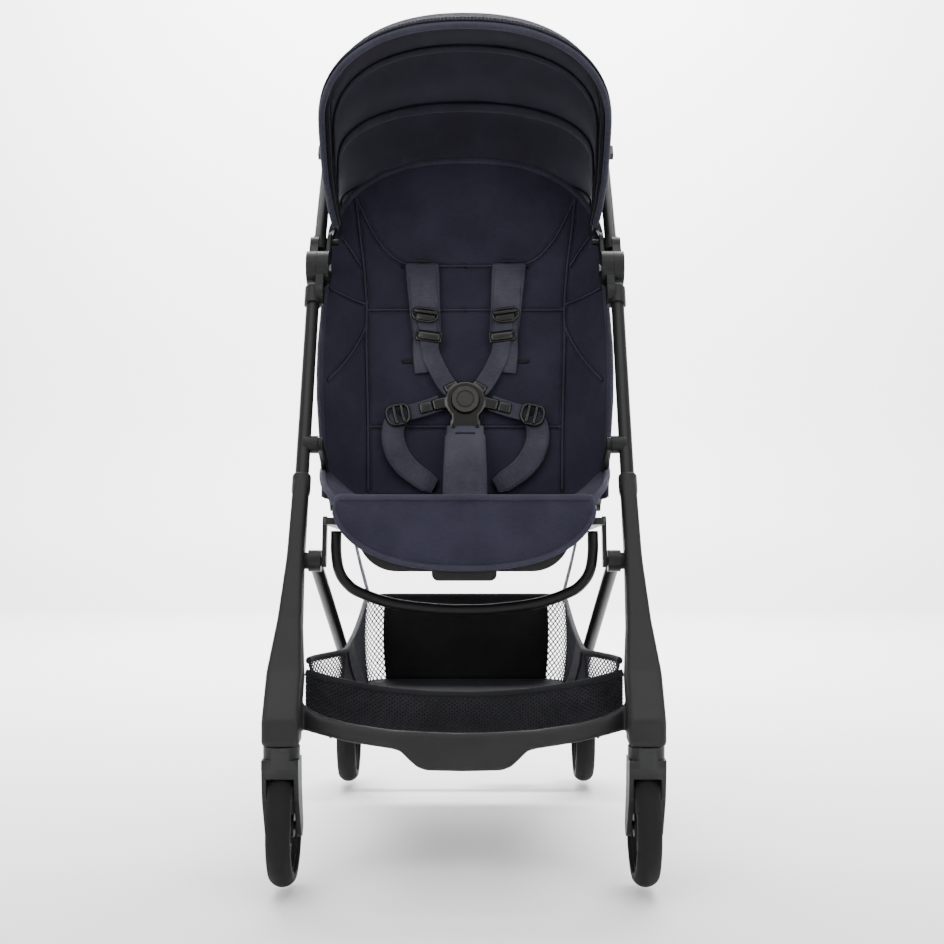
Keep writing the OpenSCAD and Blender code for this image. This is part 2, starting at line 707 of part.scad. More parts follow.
// Front wall between the castings: a band between two arcs, sagging in the middle
module basket_front() color("#1c1c1e") translate([0, basket_front_d + cloth, basket_z]) rotate([90, 0, 0])
    linear_extrude(cloth) difference() {
        intersection() {
            translate([0, front_low_r]) circle(front_low_r, $fn = 160);
            translate([-front_half, 0]) square([2 * front_half, 104]);
        }
        translate([0, front_dip + front_top_r]) circle(front_top_r, $fn = 160);
    }

module basket_rear() color("#161617") translate([-basket_w / 2, basket_rear_d, basket_z])
    cube([basket_w, cloth, basket_h]);

module basket_sides() color("#1c1c1e") for (s = [-1, 1]) sides(s)
    plate([basket_w / 2 - cloth, basket_w / 2]) polygon([
        [basket_front_d + cloth + run, basket_z + cloth + run],
        [basket_rear_d - run, basket_z + cloth + run],
        [basket_rear_d - run, basket_z + basket_h],
        [basket_front_d + cloth + run, basket_z + 88]
    ]);

// Webbing from the seat rails down to the basket's rear corners
module basket_straps() color("#2c2c30") for (s = [-1, 1]) sides(s) {
    low = [basket_w / 2 - 6, basket_rear_d + cloth / 2, basket_z + basket_h + strap_r + run];
    rod(low, [rail_x[0] - 12, hinge_h[1] + 4.9, hinge_h[2] - 4.9], strap_r);
}

on_ground() front_leg(-1);  // front_leg_left
on_ground() front_leg(1);  // front_leg_right
on_ground() leg_tube(-1);  // leg_tube_left
on_ground() leg_tube(1);  // leg_tube_right
on_ground() front_crossbar();
on_ground() hinge_housing(-1);  // hinge_housing_left
on_ground() hinge_housing(1);  // hinge_housing_right
on_ground() fold_pins();
on_ground() seat_bracket(-1);  // seat_bracket_left
on_ground() seat_bracket(1);  // seat_bracket_right
on_ground() seat_rail(-1);  // seat_rail_left
on_ground() seat_rail(1);  // seat_rail_right
on_ground() seat_pan();
on_ground() recline_rod();
on_ground() seat_cushion();
on_ground() seat_front_tube();
on_ground() seat_links();
on_ground() basket_floor();
on_ground() basket_front();
on_ground() basket_rear();
on_ground() basket_sides();
on_ground() basket_straps();
on_ground() canopy_rear_panel();
on_ground() canopy_mid_panel();
on_ground() canopy_mid_bow();
on_ground() canopy_visor();
on_ground() canopy_front_bow();
on_ground() handle_knuckle(-1);  // handle_knuckle_left
on_ground() handle_knuckle(1);  // handle_knuckle_right
on_ground() push_tube(-1);  // push_tube_left
on_ground() push_tube(1);  // push_tube_right
on_ground() handlebar();
on_ground() handle_grips();
on_ground() handle_housing();
on_ground() fold_button();
on_ground() canopy_clips();
on_ground() rear_leg(-1);  // rear_leg_left
on_ground() rear_leg(1);  // rear_leg_right
on_ground() rear_axle();
on_ground() brake_pedal();
on_ground() tyre(-1, rear_axle_p, rear_wheel_x, rear_r);  // rear_tyre_left
on_ground() tyre(1, rear_axle_p, rear_wheel_x, rear_r);  // rear_tyre_right
on_ground() rim(-1, rear_axle_p, rear_wheel_x, rear_r);  // rear_rim_left
on_ground() rim(1, rear_axle_p, rear_wheel_x, rear_r);  // rear_rim_right
on_ground() caster_fork(-1);  // caster_fork_left
on_ground() caster_fork(1);  // caster_fork_right
on_ground() tyre(-1, front_axle_p, caster_x, front_r);  // front_tyre_left
on_ground() tyre(1, front_axle_p, caster_x, front_r);  // front_tyre_right
on_ground() rim(-1, front_axle_p, caster_x, front_r);  // front_rim_left
on_ground() rim(1, front_axle_p, caster_x, front_r);  // front_rim_right
on_ground() back_shell();
on_ground() back_pad();
on_ground() side_wings();
on_ground() harness_straps();
on_ground() strap_fittings();
on_ground() harness_buckle();
on_ground() buckle_button();
on_ground() crotch_strap();
on_ground() leg_rest_pad();
on_ground() leg_rest_board();
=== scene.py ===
"""A compact folding stroller in metres: fabrics, webbing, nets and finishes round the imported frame."""

import json
import math

import bmesh
import bpy
import numpy as np
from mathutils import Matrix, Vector


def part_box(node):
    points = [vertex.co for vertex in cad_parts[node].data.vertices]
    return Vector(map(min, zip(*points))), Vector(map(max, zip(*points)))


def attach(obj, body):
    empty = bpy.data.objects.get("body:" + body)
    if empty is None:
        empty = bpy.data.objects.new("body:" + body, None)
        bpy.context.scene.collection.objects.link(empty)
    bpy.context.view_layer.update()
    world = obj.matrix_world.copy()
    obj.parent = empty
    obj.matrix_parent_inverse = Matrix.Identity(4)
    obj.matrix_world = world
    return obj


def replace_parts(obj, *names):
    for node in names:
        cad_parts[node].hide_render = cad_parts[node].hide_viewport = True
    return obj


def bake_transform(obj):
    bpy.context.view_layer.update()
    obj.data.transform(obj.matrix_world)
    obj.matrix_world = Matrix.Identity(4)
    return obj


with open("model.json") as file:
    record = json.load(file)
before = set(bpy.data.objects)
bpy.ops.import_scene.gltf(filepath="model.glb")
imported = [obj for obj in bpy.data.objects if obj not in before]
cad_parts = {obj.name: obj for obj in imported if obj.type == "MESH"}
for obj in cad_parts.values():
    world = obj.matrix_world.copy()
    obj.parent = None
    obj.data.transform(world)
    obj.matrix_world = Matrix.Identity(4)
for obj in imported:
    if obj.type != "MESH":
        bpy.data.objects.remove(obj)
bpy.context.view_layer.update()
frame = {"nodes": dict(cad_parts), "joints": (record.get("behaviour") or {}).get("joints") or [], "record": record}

MM = 0.001
JOINTS = {j["name"]: j for j in frame["joints"]}
HINGE = np.array(JOINTS["backrest_recline"]["pos_m"])
PIVOT = np.array(JOINTS["canopy_fold"]["pos_m"])
KNEE = np.array(JOINTS["handle_fold"]["pos_m"])
BACK_LEAN = math.radians(15)
UP_BACK = np.array([0, math.sin(BACK_LEAN), math.cos(BACK_LEAN)])
OUT_OF_BACK = np.array([0, -math.cos(BACK_LEAN), math.sin(BACK_LEAN)])


# ---- Small tools ----
def add(tree, kind, sockets=None, **settings):
    """Adds a node with its settings, and sets or links its sockets."""
    made = tree.nodes.new(kind)
    for key, value in settings.items():
        setattr(made, key, value)
    for key, value in (sockets or {}).items():
        if isinstance(value, bpy.types.NodeSocket):
            tree.links.new(value, made.inputs[key])
        else:
            made.inputs[key].default_value = value
    return made


def linear(colour):
    """An sRGB hex colour as linear RGBA."""
    parts = [int(colour[i : i + 2], 16) / 255 for i in (1, 3, 5)]
    return (*[p / 12.92 if p <= 0.04045 else ((p + 0.055) / 1.055) ** 2.4 for p in parts], 1.0)


def smoothstep(a, b, x):
    t = np.clip((np.asarray(x, float) - a) / (b - a), 0, 1)
    return t * t * (3 - 2 * t)


def on_back(x, h, f):
    """A point by the back's plane in millimetres: x across, h up from the hinge, f out of the plane."""
    x, h, f = np.broadcast_arrays(*[np.asarray(v, float) * MM for v in (x, h, f)])
    side = np.zeros(x.shape + (3,))
    side[..., 0] = x
    return HINGE + side + h[..., None] * UP_BACK + f[..., None] * OUT_OF_BACK


def unit(v):
    v = np.asarray(v, float)
    return v / np.maximum(np.linalg.norm(v, axis=-1, keepdims=True), 1e-12)


def piece(name, points, faces, uv=None, material=None):
    """A smooth mesh object from points and faces, with its UV map in metres."""
    mesh = bpy.data.meshes.new(name)
    mesh.from_pydata([tuple(p) for p in np.asarray(points, float).reshape(-1, 3)], [], faces)
    mesh.update()
    if uv is not None:
        layer = mesh.uv_layers.new(name="cloth")
        loops = np.zeros(len(mesh.loops), np.int32)
        mesh.loops.foreach_get("vertex_index", loops)
        layer.data.foreach_set("uv", np.asarray(uv, np.float32).reshape(-1, 2)[loops].ravel())
    made = bpy.data.objects.new(name, mesh)
    bpy.context.scene.collection.objects.link(made)
    mesh.polygons.foreach_set("use_smooth", [True] * len(mesh.polygons))
    if material:
        mesh.materials.append(material)
    return made


def outwards(made):
    """Points the faces of a closed mesh outwards."""
    shape = bmesh.new()
    shape.from_mesh(made.data)
    bmesh.ops.remove_doubles(shape, verts=shape.verts, dist=1e-6)
    bmesh.ops.recalc_face_normals(shape, faces=shape.faces)
    shape.to_mesh(made.data)
    shape.free()
    return made


def plain(made):
    """The piece with its modifiers made real."""
    graph = bpy.context.evaluated_depsgraph_get()
    graph.update()
    mesh = bpy.data.meshes.new_from_object(made.evaluated_get(graph), preserve_all_data_layers=True,
                                           depsgraph=graph)
    old = made.data
    made.modifiers.clear()
    made.data = mesh
    bpy.data.meshes.remove(old)
    mesh.polygons.foreach_set("use_smooth", [True] * len(mesh.polygons))
    return made


def modified(made, kind, **settings):
    extra = made.modifiers.new(kind.title(), kind)
    for key, value in settings.items():
        setattr(extra, key, value)
    return made


def grid_uv(points):
    """Lengths along a grid's columns and rows, in metres, for its weave."""
    across = np.zeros(points.shape[:2])
    across[:, 1:] = np.cumsum(np.linalg.norm(np.diff(points, axis=1), axis=-1), axis=1)
    across -= across[:, [points.shape[1] // 2]]
    along = np.zeros(points.shape[:2])
    along[1:] = np.cumsum(np.linalg.norm(np.diff(points, axis=0), axis=-1), axis=0)
    return np.stack([across, along], -1)


def grid_faces(rows, cols, closed=False, start=0):
    last = cols if closed else cols - 1
    return [
        (start + i * cols + j, start + i * cols + (j + 1) % cols,
         start + (i + 1) * cols + (j + 1) % cols, start + (i + 1) * cols + j)
        for i in range(rows - 1) for j in range(last)
    ]


def cloth(name, points, material, thick=1.6):
    """A sheet of cloth from a grid of points, thick millimetres through."""
    rows, cols = points.shape[:2]
    made = piece(name, points, grid_faces(rows, cols), grid_uv(points), material)
    modified(made, "SOLIDIFY", thickness=thick * MM, offset=0.0)
    return plain(made)


def normals_of(points):
    """Unit normals of a grid, to the side that its rows and columns turn to."""
    return unit(np.cross(np.gradient(points, axis=1), np.gradient(points, axis=0)))


def pad(name, front, rear, material, bulge=0.3):
    """A closed pad between a front and a rear grid, with a rounded rim."""
    rows, cols = front.shape[:2]
    loop = [(0, j) for j in range(cols)] + [(i, cols - 1) for i in range(1, rows)]
    loop += [(rows - 1, j) for j in range(cols - 2, -1, -1)] + [(i, 0) for i in range(rows - 2, 0, -1)]
    inside = [(min(max(i, 1), rows - 2), min(max(j, 1), cols - 2)) for i, j in loop]
    f = np.array([front[k] for k in loop])
    r = np.array([rear[k] for k in loop])
    out = unit(f + r - np.array([front[k] + rear[k] for k in inside]))
    depth = np.linalg.norm(f - r, axis=1, keepdims=True)
    middle = (f + r) / 2 + out * depth * bulge
    n, count = rows * cols, len(loop)
    points = np.concatenate([front.reshape(-1, 3), rear.reshape(-1, 3), middle])
    uv = np.concatenate([grid_uv(front).reshape(-1, 2), grid_uv(rear).reshape(-1, 2)])
    uv = np.concatenate([uv, np.array([uv[i * cols + j] for i, j in loop])])
    faces = grid_faces(rows, cols) + [face[::-1] for face in grid_faces(rows, cols, start=n)]
    for k in range(count):
        m = (k + 1) % count
        a, b = loop[k][0] * cols + loop[k][1], loop[m][0] * cols + loop[m][1]
        faces.append((b, a, 2 * n + k, 2 * n + m))
        faces.append((2 * n + m, 2 * n + k, n + a, n + b))
    return outwards(piece(name, points, faces, uv, material))


def distance_to(points, lines):
    """Each point's distance to the nearest of some polylines."""
    best = np.full(len(points), 1e9)
    for line in lines:
        for a, b in zip(line[:-1], line[1:]):
            d = b - a
            t = np.clip((points - a) @ d / max(d @ d, 1e-12), 0, 1)
            best = np.minimum(best, np.linalg.norm(points - a - t[:, None] * d, axis=1))
    return best


def coordinates(mesh):
    co = np.zeros(len(mesh.vertices) * 3, np.float32)
    mesh.vertices.foreach_get("co", co)
    return co.reshape(-1, 3).astype(float)


def vertex_normals(mesh):
    n = np.zeros(len(mesh.vertices) * 3, np.float32)
    mesh.vertices.foreach_get("normal", n)
    return n.reshape(-1, 3).astype(float)


def move_to(mesh, points):
    mesh.vertices.foreach_set("co", points.astype(np.float32).ravel())
    mesh.update()


def puff(made, held, pressure=4.0, cap=8.0):
    """Swells a pad as stuffed cloth does, by simulation, apart from the points where held is true.

    No point moves more than cap millimetres.
    """
    rest = coordinates(made.data)
    group = made.vertex_groups.new(name="sewn")
    group.add([int(i) for i in np.nonzero(held)[0]], 1.0, "REPLACE")
    sim = made.modifiers.new("Cloth", "CLOTH")
    sim.settings.vertex_group_mass = "sewn"
    sim.settings.use_pressure = True
    sim.settings.uniform_pressure_force = pressure
    sim.settings.effector_weights.gravity = 0.0
    sim.settings.tension_stiffness = sim.settings.compression_stiffness = 12.0
    sim.settings.bending_stiffness = 0.6
    sim.point_cache.frame_start, sim.point_cache.frame_end = 1, 20
    scene = bpy.context.scene
    for step in range(1, 21):
        scene.frame_set(step)
    graph = bpy.context.evaluated_depsgraph_get()
    moved = coordinates(made.evaluated_get(graph).data) - rest
    size = np.linalg.norm(moved, axis=1, keepdims=True)
    print("swell", made.name, "mm", round(float(np.percentile(size, 95)) / MM, 2),
          round(float(size.max()) / MM, 2))
    limit = cap * MM
    moved *= limit * np.tanh(size / limit) / np.maximum(size, 1e-9)
    made.modifiers.clear()
    made.vertex_groups.clear()
    scene.frame_set(1)
    move_to(made.data, rest + moved)
    return made


def softened(made):
    """One subdivision, made real."""
    modified(made, "SUBSURF", levels=1, render_levels=1)
    return plain(made)


def sewn(made, lines, depth=3.0, width=2.6):
    """Pulls the cloth in along its seams, in millimetres."""
    co = coordinates(made.data)
    near = distance_to(co, lines)
    pull = depth * MM * np.exp(-((near / (width * MM)) ** 2))
    move_to(made.data, co - vertex_normals(made.data) * pull[:, None])
    return made


def sweep(name, path, facing, half_wide, half_thick, material, closed=False, square=1.0):
    """A band swept along a path: wide across it and thick towards facing, both in millimetres."""
    path, facing = np.asarray(path, float), np.asarray(facing, float)
    if closed:
        tangent = unit(np.roll(path, -1, 0) - np.roll(path, 1, 0))
    else:
        tangent = unit(np.gradient(path, axis=0))
    facing = unit(facing - tangent * (facing * tangent).sum(1, keepdims=True))
    across = np.cross(tangent, facing)
    angles = np.linspace(0, 2 * math.pi, 12, endpoint=False)
    c, s = np.cos(angles), np.sin(angles)
    c, s = np.sign(c) * abs(c) ** square, np.sign(s) * abs(s) ** square
    wide = np.broadcast_to(np.asarray(half_wide, float), (len(path),))[:, None, None] * MM
    thick = np.broadcast_to(np.asarray(half_thick, float), (len(path),))[:, None, None] * MM
    rings = (path[:, None] + across[:, None] * c[None, :, None] * wide
             + facing[:, None] * s[None, :, None] * thick)
    rows, cols = rings.shape[:2]
    length = np.concatenate([[0], np.cumsum(np.linalg.norm(np.diff(path, axis=0), axis=1))])
    uv = np.stack([np.broadcast_to(c * wide[:, 0], (rows, cols)),
                   np.broadcast_to(length[:, None], (rows, cols))], -1)
    faces = grid_faces(rows, cols, closed=True)
    if closed:
        last = (rows - 1) * cols
        faces += [(last + j, last + (j + 1) % cols, (j + 1) % cols, j) for j in range(cols)]
    else:
        faces += [tuple(range(cols))[::-1], tuple((rows - 1) * cols + j for j in range(cols))]
    return outwards(piece(name, rings, faces, uv, material))


def curve_through(points, count):
    """A smooth curve through some points, as evenly spaced points."""
    p = np.asarray(points, float)
    padded = np.concatenate([[2 * p[0] - p[1]], p, [2 * p[-1] - p[-2]]])
    fine = []
    for i in range(len(p) - 1):
        a, b, c, d = padded[i : i + 4]
        for t in np.linspace(0, 1, 24, endpoint=False):
            fine.append(0.5 * (2 * b + (c - a) * t + (2 * a - 5 * b + 4 * c - d) * t * t
                               + (3 * b - a - 3 * c + d) * t**3))
    fine = np.array(fine + [p[-1]])
    at = np.concatenate([[0], np.cumsum(np.linalg.norm(np.diff(fine, axis=0), axis=1))])
    want = np.linspace(0, at[-1], count)
    return np.stack([np.interp(want, at, fine[:, k]) for k in range(p.shape[1])], -1)


def join(name, parts):
    """Several pieces made one."""
    parts = [p for p in parts if p]
    bpy.ops.object.select_all(action="DESELECT")
    for p in parts:
        p.select_set(True)
    bpy.context.view_layer.objects.active = parts[0]
    if len(parts) > 1:
        bpy.ops.object.join()
    made = bpy.context.view_layer.objects.active
    made.name = made.data.name = name
    return made


def mirrored(points):
    """The same points on the other side of the middle."""
    return np.asarray(points, float) * np.array([-1, 1, 1])


# ---- Finishes ----
def finish_named(name):
    """A new material with an empty tree, its output and its Principled shader."""
    made = bpy.data.materials.new(name)
    made.use_nodes = True
    made.node_tree.nodes.clear()
    tree = made.node_tree
    shader = add(tree, "ShaderNodeBsdfPrincipled")
    add(tree, "ShaderNodeOutputMaterial", {"Surface": shader.outputs[0]})
    return made, tree, shader


def moulded(name, colour, rough, grain_mm, depth_mm, mottle=0.12, edge_highlight=0.25, gloss=0.2):
    """A grained plastic or powder-coated face: fine bumps, slow changes of tone, and a painted highlight that
    makes sharp edges lighter.
    """
    made, tree, shader = finish_named(name)
    place = add(tree, "ShaderNodeTexCoord").outputs["Object"]
    grain = add(tree, "ShaderNodeTexNoise", {"Vector": place, "Scale": 1 / (grain_mm * MM), "Detail": 3.0})
    slow = add(tree, "ShaderNodeTexNoise", {"Vector": place, "Scale": 1 / (45 * MM), "Detail": 4.0})
    base = linear(colour)
    tone = add(tree, "ShaderNodeValToRGB", {"Fac": slow.outputs["Fac"]})
    tone.color_ramp.elements[0].position, tone.color_ramp.elements[1].position = 0.35, 0.7
    tone.color_ramp.elements[0].color = (*[c * (1 - mottle) for c in base[:3]], 1)
    tone.color_ramp.elements[1].color = (*[c * (1 + mottle) for c in base[:3]], 1)
    # Painted highlight: sharp edges (high pointiness) are mixed towards a lighter colour, up to edge_highlight.
    edge = add(tree, "ShaderNodeMapRange", {"Value": add(tree, "ShaderNodeNewGeometry").outputs["Pointiness"],
                                            "From Min": 0.515, "From Max": 0.58, "To Max": edge_highlight})
    lit = add(tree, "ShaderNodeMix", {0: edge.outputs[0], 6: tone.outputs["Color"],
                                      7: (*[min(1, c * 2.6 + 0.01) for c in base[:3]], 1)}, data_type="RGBA")
    shader.inputs["Specular IOR Level"].default_value = gloss
    shine = add(tree, "ShaderNodeMapRange",
                {"Value": slow.outputs["Fac"], "To Min": rough - 0.05, "To Max": rough + 0.06})
    bump = add(tree, "ShaderNodeBump",
               {"Height": grain.outputs["Fac"], "Distance": depth_mm * MM, "Strength": 0.6})
    for key, value in {"Base Color": lit.outputs[2], "Roughness": shine.outputs[0],
                       "Normal": bump.outputs[0]}.items():
        tree.links.new(value, shader.inputs[key])
    return made


def waves(tree, value, pitch_mm):
    """A sine of the given pitch along a length in metres."""
    angle = add(tree, "ShaderNodeMath", {0: value, 1: 2 * math.pi / (pitch_mm * MM)}, operation="MULTIPLY")
    return add(tree, "ShaderNodeMath", {0: angle.outputs[0]}, operation="SINE").outputs[0]


def woven(name, dark, light, pitch_mm, ribs=0.0, rough=0.85, depth_mm=0.25, sheen=0.25, slub=0.5, uv=True):
    """A plain weave of crossing threads pitch_mm apart; ribs above 0 turns it to webbing with cross ribs."""
    made, tree, shader = finish_named(name)
    place = add(tree, "ShaderNodeTexCoord")
    where = place.outputs["UV"] if uv else place.outputs["Object"]
    parts = add(tree, "ShaderNodeSeparateXYZ", {0: where})
    warp, weft = parts.outputs[0], parts.outputs[1 if uv else 2]
    weave = add(tree, "ShaderNodeMath", {0: waves(tree, warp, pitch_mm), 1: waves(tree, weft, pitch_mm)},
                operation="MULTIPLY").outputs[0]
    if ribs:
        zig = add(tree, "ShaderNodeMath", {0: warp, 1: 6 * MM}, operation="PINGPONG").outputs[0]
        slant = add(tree, "ShaderNodeMath", {0: weft, 1: zig}, operation="ADD").outputs[0]
        weave = add(tree, "ShaderNodeMath", {0: waves(tree, slant, ribs), 1: 0.6, 2: weave},
                    operation="MULTIPLY_ADD").outputs[0]
    threads = add(tree, "ShaderNodeTexNoise", {
        "Vector": add(tree, "ShaderNodeMapping",
                      {"Vector": where, "Scale": (1 / (9 * MM), 1 / (1.4 * MM), 1 / (1.4 * MM))}).outputs[0],
        "Scale": 1.0, "Detail": 2.0})
    cloud = add(tree, "ShaderNodeTexNoise",
                {"Vector": place.outputs["Object"], "Scale": 1 / (60 * MM), "Detail": 3.0})
    mixed = add(tree, "ShaderNodeMath", {0: threads.outputs["Fac"], 1: slub, 2: cloud.outputs["Fac"]},
                operation="MULTIPLY_ADD").outputs[0]
    tone = add(tree, "ShaderNodeMapRange",
               {"Value": mixed, "From Min": 0.35 + slub * 0.3, "From Max": 0.65 + slub * 0.7})
    shade = add(tree, "ShaderNodeMath", {0: weave, 1: 0.22, 2: tone.outputs[0]}, operation="MULTIPLY_ADD",
                use_clamp=True)
    colour = add(tree, "ShaderNodeMix", {0: shade.outputs[0], 6: linear(dark), 7: linear(light)},
                 data_type="RGBA")
    bump = add(tree, "ShaderNodeBump", {"Height": weave, "Distance": depth_mm * MM, "Strength": 0.7})
    tree.links.new(colour.outputs[2], shader.inputs["Base Color"])
    tree.links.new(bump.outputs[0], shader.inputs["Normal"])
    shader.inputs["Roughness"].default_value = rough
    shader.inputs["Specular IOR Level"].default_value = 0.2
    shader.inputs["Sheen Weight"].default_value = sheen
    shader.inputs["Sheen Roughness"].default_value = 0.45
    shader.inputs["Sheen Tint"].default_value = linear("#9a9ab0")
    return made


def metal(name, colour, rough, brush_mm):
    """Turned steel: fine rings across the rod."""
    made, tree, shader = finish_named(name)
    place = add(tree, "ShaderNodeTexCoord").outputs["Object"]
    stretched = add(tree, "ShaderNodeMapping", {"Vector": place, "Scale": (1 / (brush_mm * MM), 20.0, 20.0)})
    lines = add(tree, "ShaderNodeTexNoise", {"Vector": stretched.outputs[0], "Scale": 1.0, "Detail": 2.0})
    spread = add(tree, "ShaderNodeMapRange",
                 {"Value": lines.outputs["Fac"], "To Min": rough - 0.08, "To Max": rough + 0.12})
    bump = add(tree, "ShaderNodeBump",
               {"Height": lines.outputs["Fac"], "Distance": 0.03 * MM, "Strength": 0.4})
    shader.inputs["Base Color"].default_value = linear(colour)
    shader.inputs["Metallic"].default_value = 1.0
    tree.links.new(spread.outputs[0], shader.inputs["Roughness"])
    tree.links.new(bump.outputs[0], shader.inputs["Normal"])
    return made


FINISHES = {
    # Satin black powder coat on aluminium tube: a faint orange peel about 1.5 mm across.
    "frame_tube": moulded("powder_coated_aluminium_tube", "#0c0c0d", 0.36, 1.5, 0.05, 0.08, gloss=0.22),
    # The same coat on pressed plate.
    "painted_plate": moulded("powder_coated_plate", "#101011", 0.46, 1.2, 0.05, 0.08),
    # Glass-filled nylon, spark-eroded mould: dry matte grain near 1 mm, a little lighter than the tubes.
    "casting": moulded("glass_filled_nylon_casting", "#1c1c1d", 0.52, 1.0, 0.09, 0.12, 0.3, 0.22),
    # Moulded ABS with a fine satin grain.
    "moulded_plastic": moulded("moulded_abs", "#111112", 0.45, 0.9, 0.06),
    # Turned steel pin, plain.
    "steel_pin": metal("turned_steel", "#8d8d90", 0.35, 0.7),
    # Foam-filled polyurethane tyre: dull, slightly open skin.
    "tyre": moulded("polyurethane_tyre", "#141414", 0.82, 1.6, 0.15, 0.15, 0.15),
    # Moulded polypropylene wheel with a satin face.
    "wheel_plastic": moulded("moulded_polypropylene_wheel", "#19191a", 0.45, 1.0, 0.04),
    # Foam rubber grip with a fine pebble.
    "grip": moulded("foam_rubber_grip", "#141415", 0.78, 1.4, 0.22, 0.1, 0.1),
    # Acetal buckle, satin and faintly warm.
    "buckle_plastic": moulded("acetal_buckle", "#0c0b0a", 0.22, 0.8, 0.03, 0.08, 0.3, 0.4),
    # Grey ABS button.
    "button_plastic": moulded("grey_abs_button", "#2c2a28", 0.4, 0.8, 0.03, 0.08),
    # Plain-woven polyester, dark navy. Threads drawn 1.6 mm apart, coarser than the real 0.4, so they show.
    "seat_fabric": woven("navy_plain_weave_seat_cloth", "#1e1d2a", "#2a2938", 1.6, sheen=0.12),
    # The same cloth on the hood, a tighter weave, coloured darker than the seat cloth: painted shade for the deep
    # hood's shaded inside.
    "canopy_fabric": woven("navy_hood_cloth_darkened_as_painted_shade", "#0e0d19", "#181725", 1.5, sheen=0.05),
    # Grosgrain edge binding, greyer: cross ribs 2 mm apart.
    "canopy_binding": woven("grosgrain_binding", "#1d1d28", "#2d2d38", 1.6, 2.0, 0.8, 0.3),
    # Polyester webbing: a herringbone of ribs drawn 2.4 mm apart.
    "webbing": woven("herringbone_webbing", "#2e2e39", "#484853", 1.4, 2.4, 0.75, 0.35, 0.2),
    # Black polyester yarn of the basket's net.
    "basket_mesh": woven("black_net_yarn", "#151517", "#2b2b2e", 1.2, uv=False),
    # Black coated cloth of the basket's floor and rear wall.
    "basket_fabric": woven("black_coated_cloth", "#0e0e10", "#18181b", 1.6, rough=0.7, sheen=0.12),
}
SEWING_THREAD = woven("navy_sewing_thread", "#262532", "#3a3a48", 0.8, sheen=0.1, uv=False)
PIPING = woven("navy_bias_binding", "#262531", "#353442", 1.6, 2.2, 0.8, 0.25, 0.15)
# Near-black finish for painted shade: bands that stand for the dark inside of the harness and crotch slits.
SLOT_SHADE = moulded("painted_slot_shade", "#0c0c10", 0.6, 1.0, 0.05)

SLOT_OF = {p["node"]: p["material_slot"] for p in frame["record"]["subparts"]}
for node_name, thing in frame["nodes"].items():
    thing.data.materials.clear()
    thing.data.materials.append(FINISHES[SLOT_OF[node_name]])


# ---- Patterns that repeat ----
def geometry_tree(name, sizes):
    """An empty geometry tree with a shape in, a material and some named sizes."""
    tree = bpy.data.node_groups.new(name, "GeometryNodeTree")
    tree.interface.new_socket("Geometry", in_out="INPUT", socket_type="NodeSocketGeometry")
    for label, start in sizes.items():
        tree.interface.new_socket(label, in_out="INPUT", socket_type="NodeSocketFloat").default_value = start
    tree.interface.new_socket("Finish", in_out="INPUT", socket_type="NodeSocketMaterial")
    tree.interface.new_socket("Geometry", in_out="OUTPUT", socket_type="NodeSocketGeometry")
    return tree, add(tree, "NodeGroupInput").outputs


def stitch_tree():
    """Short rounded threads end to end along lines."""
    tree, given = geometry_tree("stitches", {"Pitch": 4.6 * MM, "Length": 3.2 * MM, "Radius": 0.45 * MM})
    lines = add(tree, "GeometryNodeMeshToCurve", {"Mesh": given["Geometry"]})
    even = add(tree, "GeometryNodeResampleCurve", {"Curve": lines.outputs[0], "Length": given["Pitch"]},
               mode="LENGTH")
    thread = add(tree, "GeometryNodeMeshCylinder",
                 {"Vertices": 6, "Radius": given["Radius"], "Depth": given["Length"]})
    way = add(tree, "FunctionNodeAlignRotationToVector",
              {"Vector": add(tree, "GeometryNodeInputTangent").outputs[0]}, axis="Z")
    placed = add(tree, "GeometryNodeInstanceOnPoints", {
        "Points": even.outputs[0], "Instance": thread.outputs["Mesh"], "Rotation": way.outputs[0]})
    real = add(tree, "GeometryNodeRealizeInstances", {"Geometry": placed.outputs[0]})
    done = add(tree, "GeometryNodeSetMaterial", {"Geometry": real.outputs[0], "Material": given["Finish"]})
    add(tree, "NodeGroupOutput", {"Geometry": done.outputs[0]})
    return tree


def net_tree():
    """A yarn along every edge of a grid."""
    tree, given = geometry_tree("net", {"Radius": 0.7 * MM})
    yarns = add(tree, "GeometryNodeMeshToCurve", {"Mesh": given["Geometry"]})
    ring = add(tree, "GeometryNodeCurvePrimitiveCircle", {"Resolution": 4, "Radius": given["Radius"]},
               mode="RADIUS")
    tubes = add(tree, "GeometryNodeCurveToMesh",
                {"Curve": yarns.outputs[0], "Profile Curve": ring.outputs[0]})
    real = add(tree, "GeometryNodeRealizeInstances", {"Geometry": tubes.outputs[0]})
    done = add(tree, "GeometryNodeSetMaterial", {"Geometry": real.outputs[0], "Material": given["Finish"]})
    add(tree, "NodeGroupOutput", {"Geometry": done.outputs[0]})
    return tree


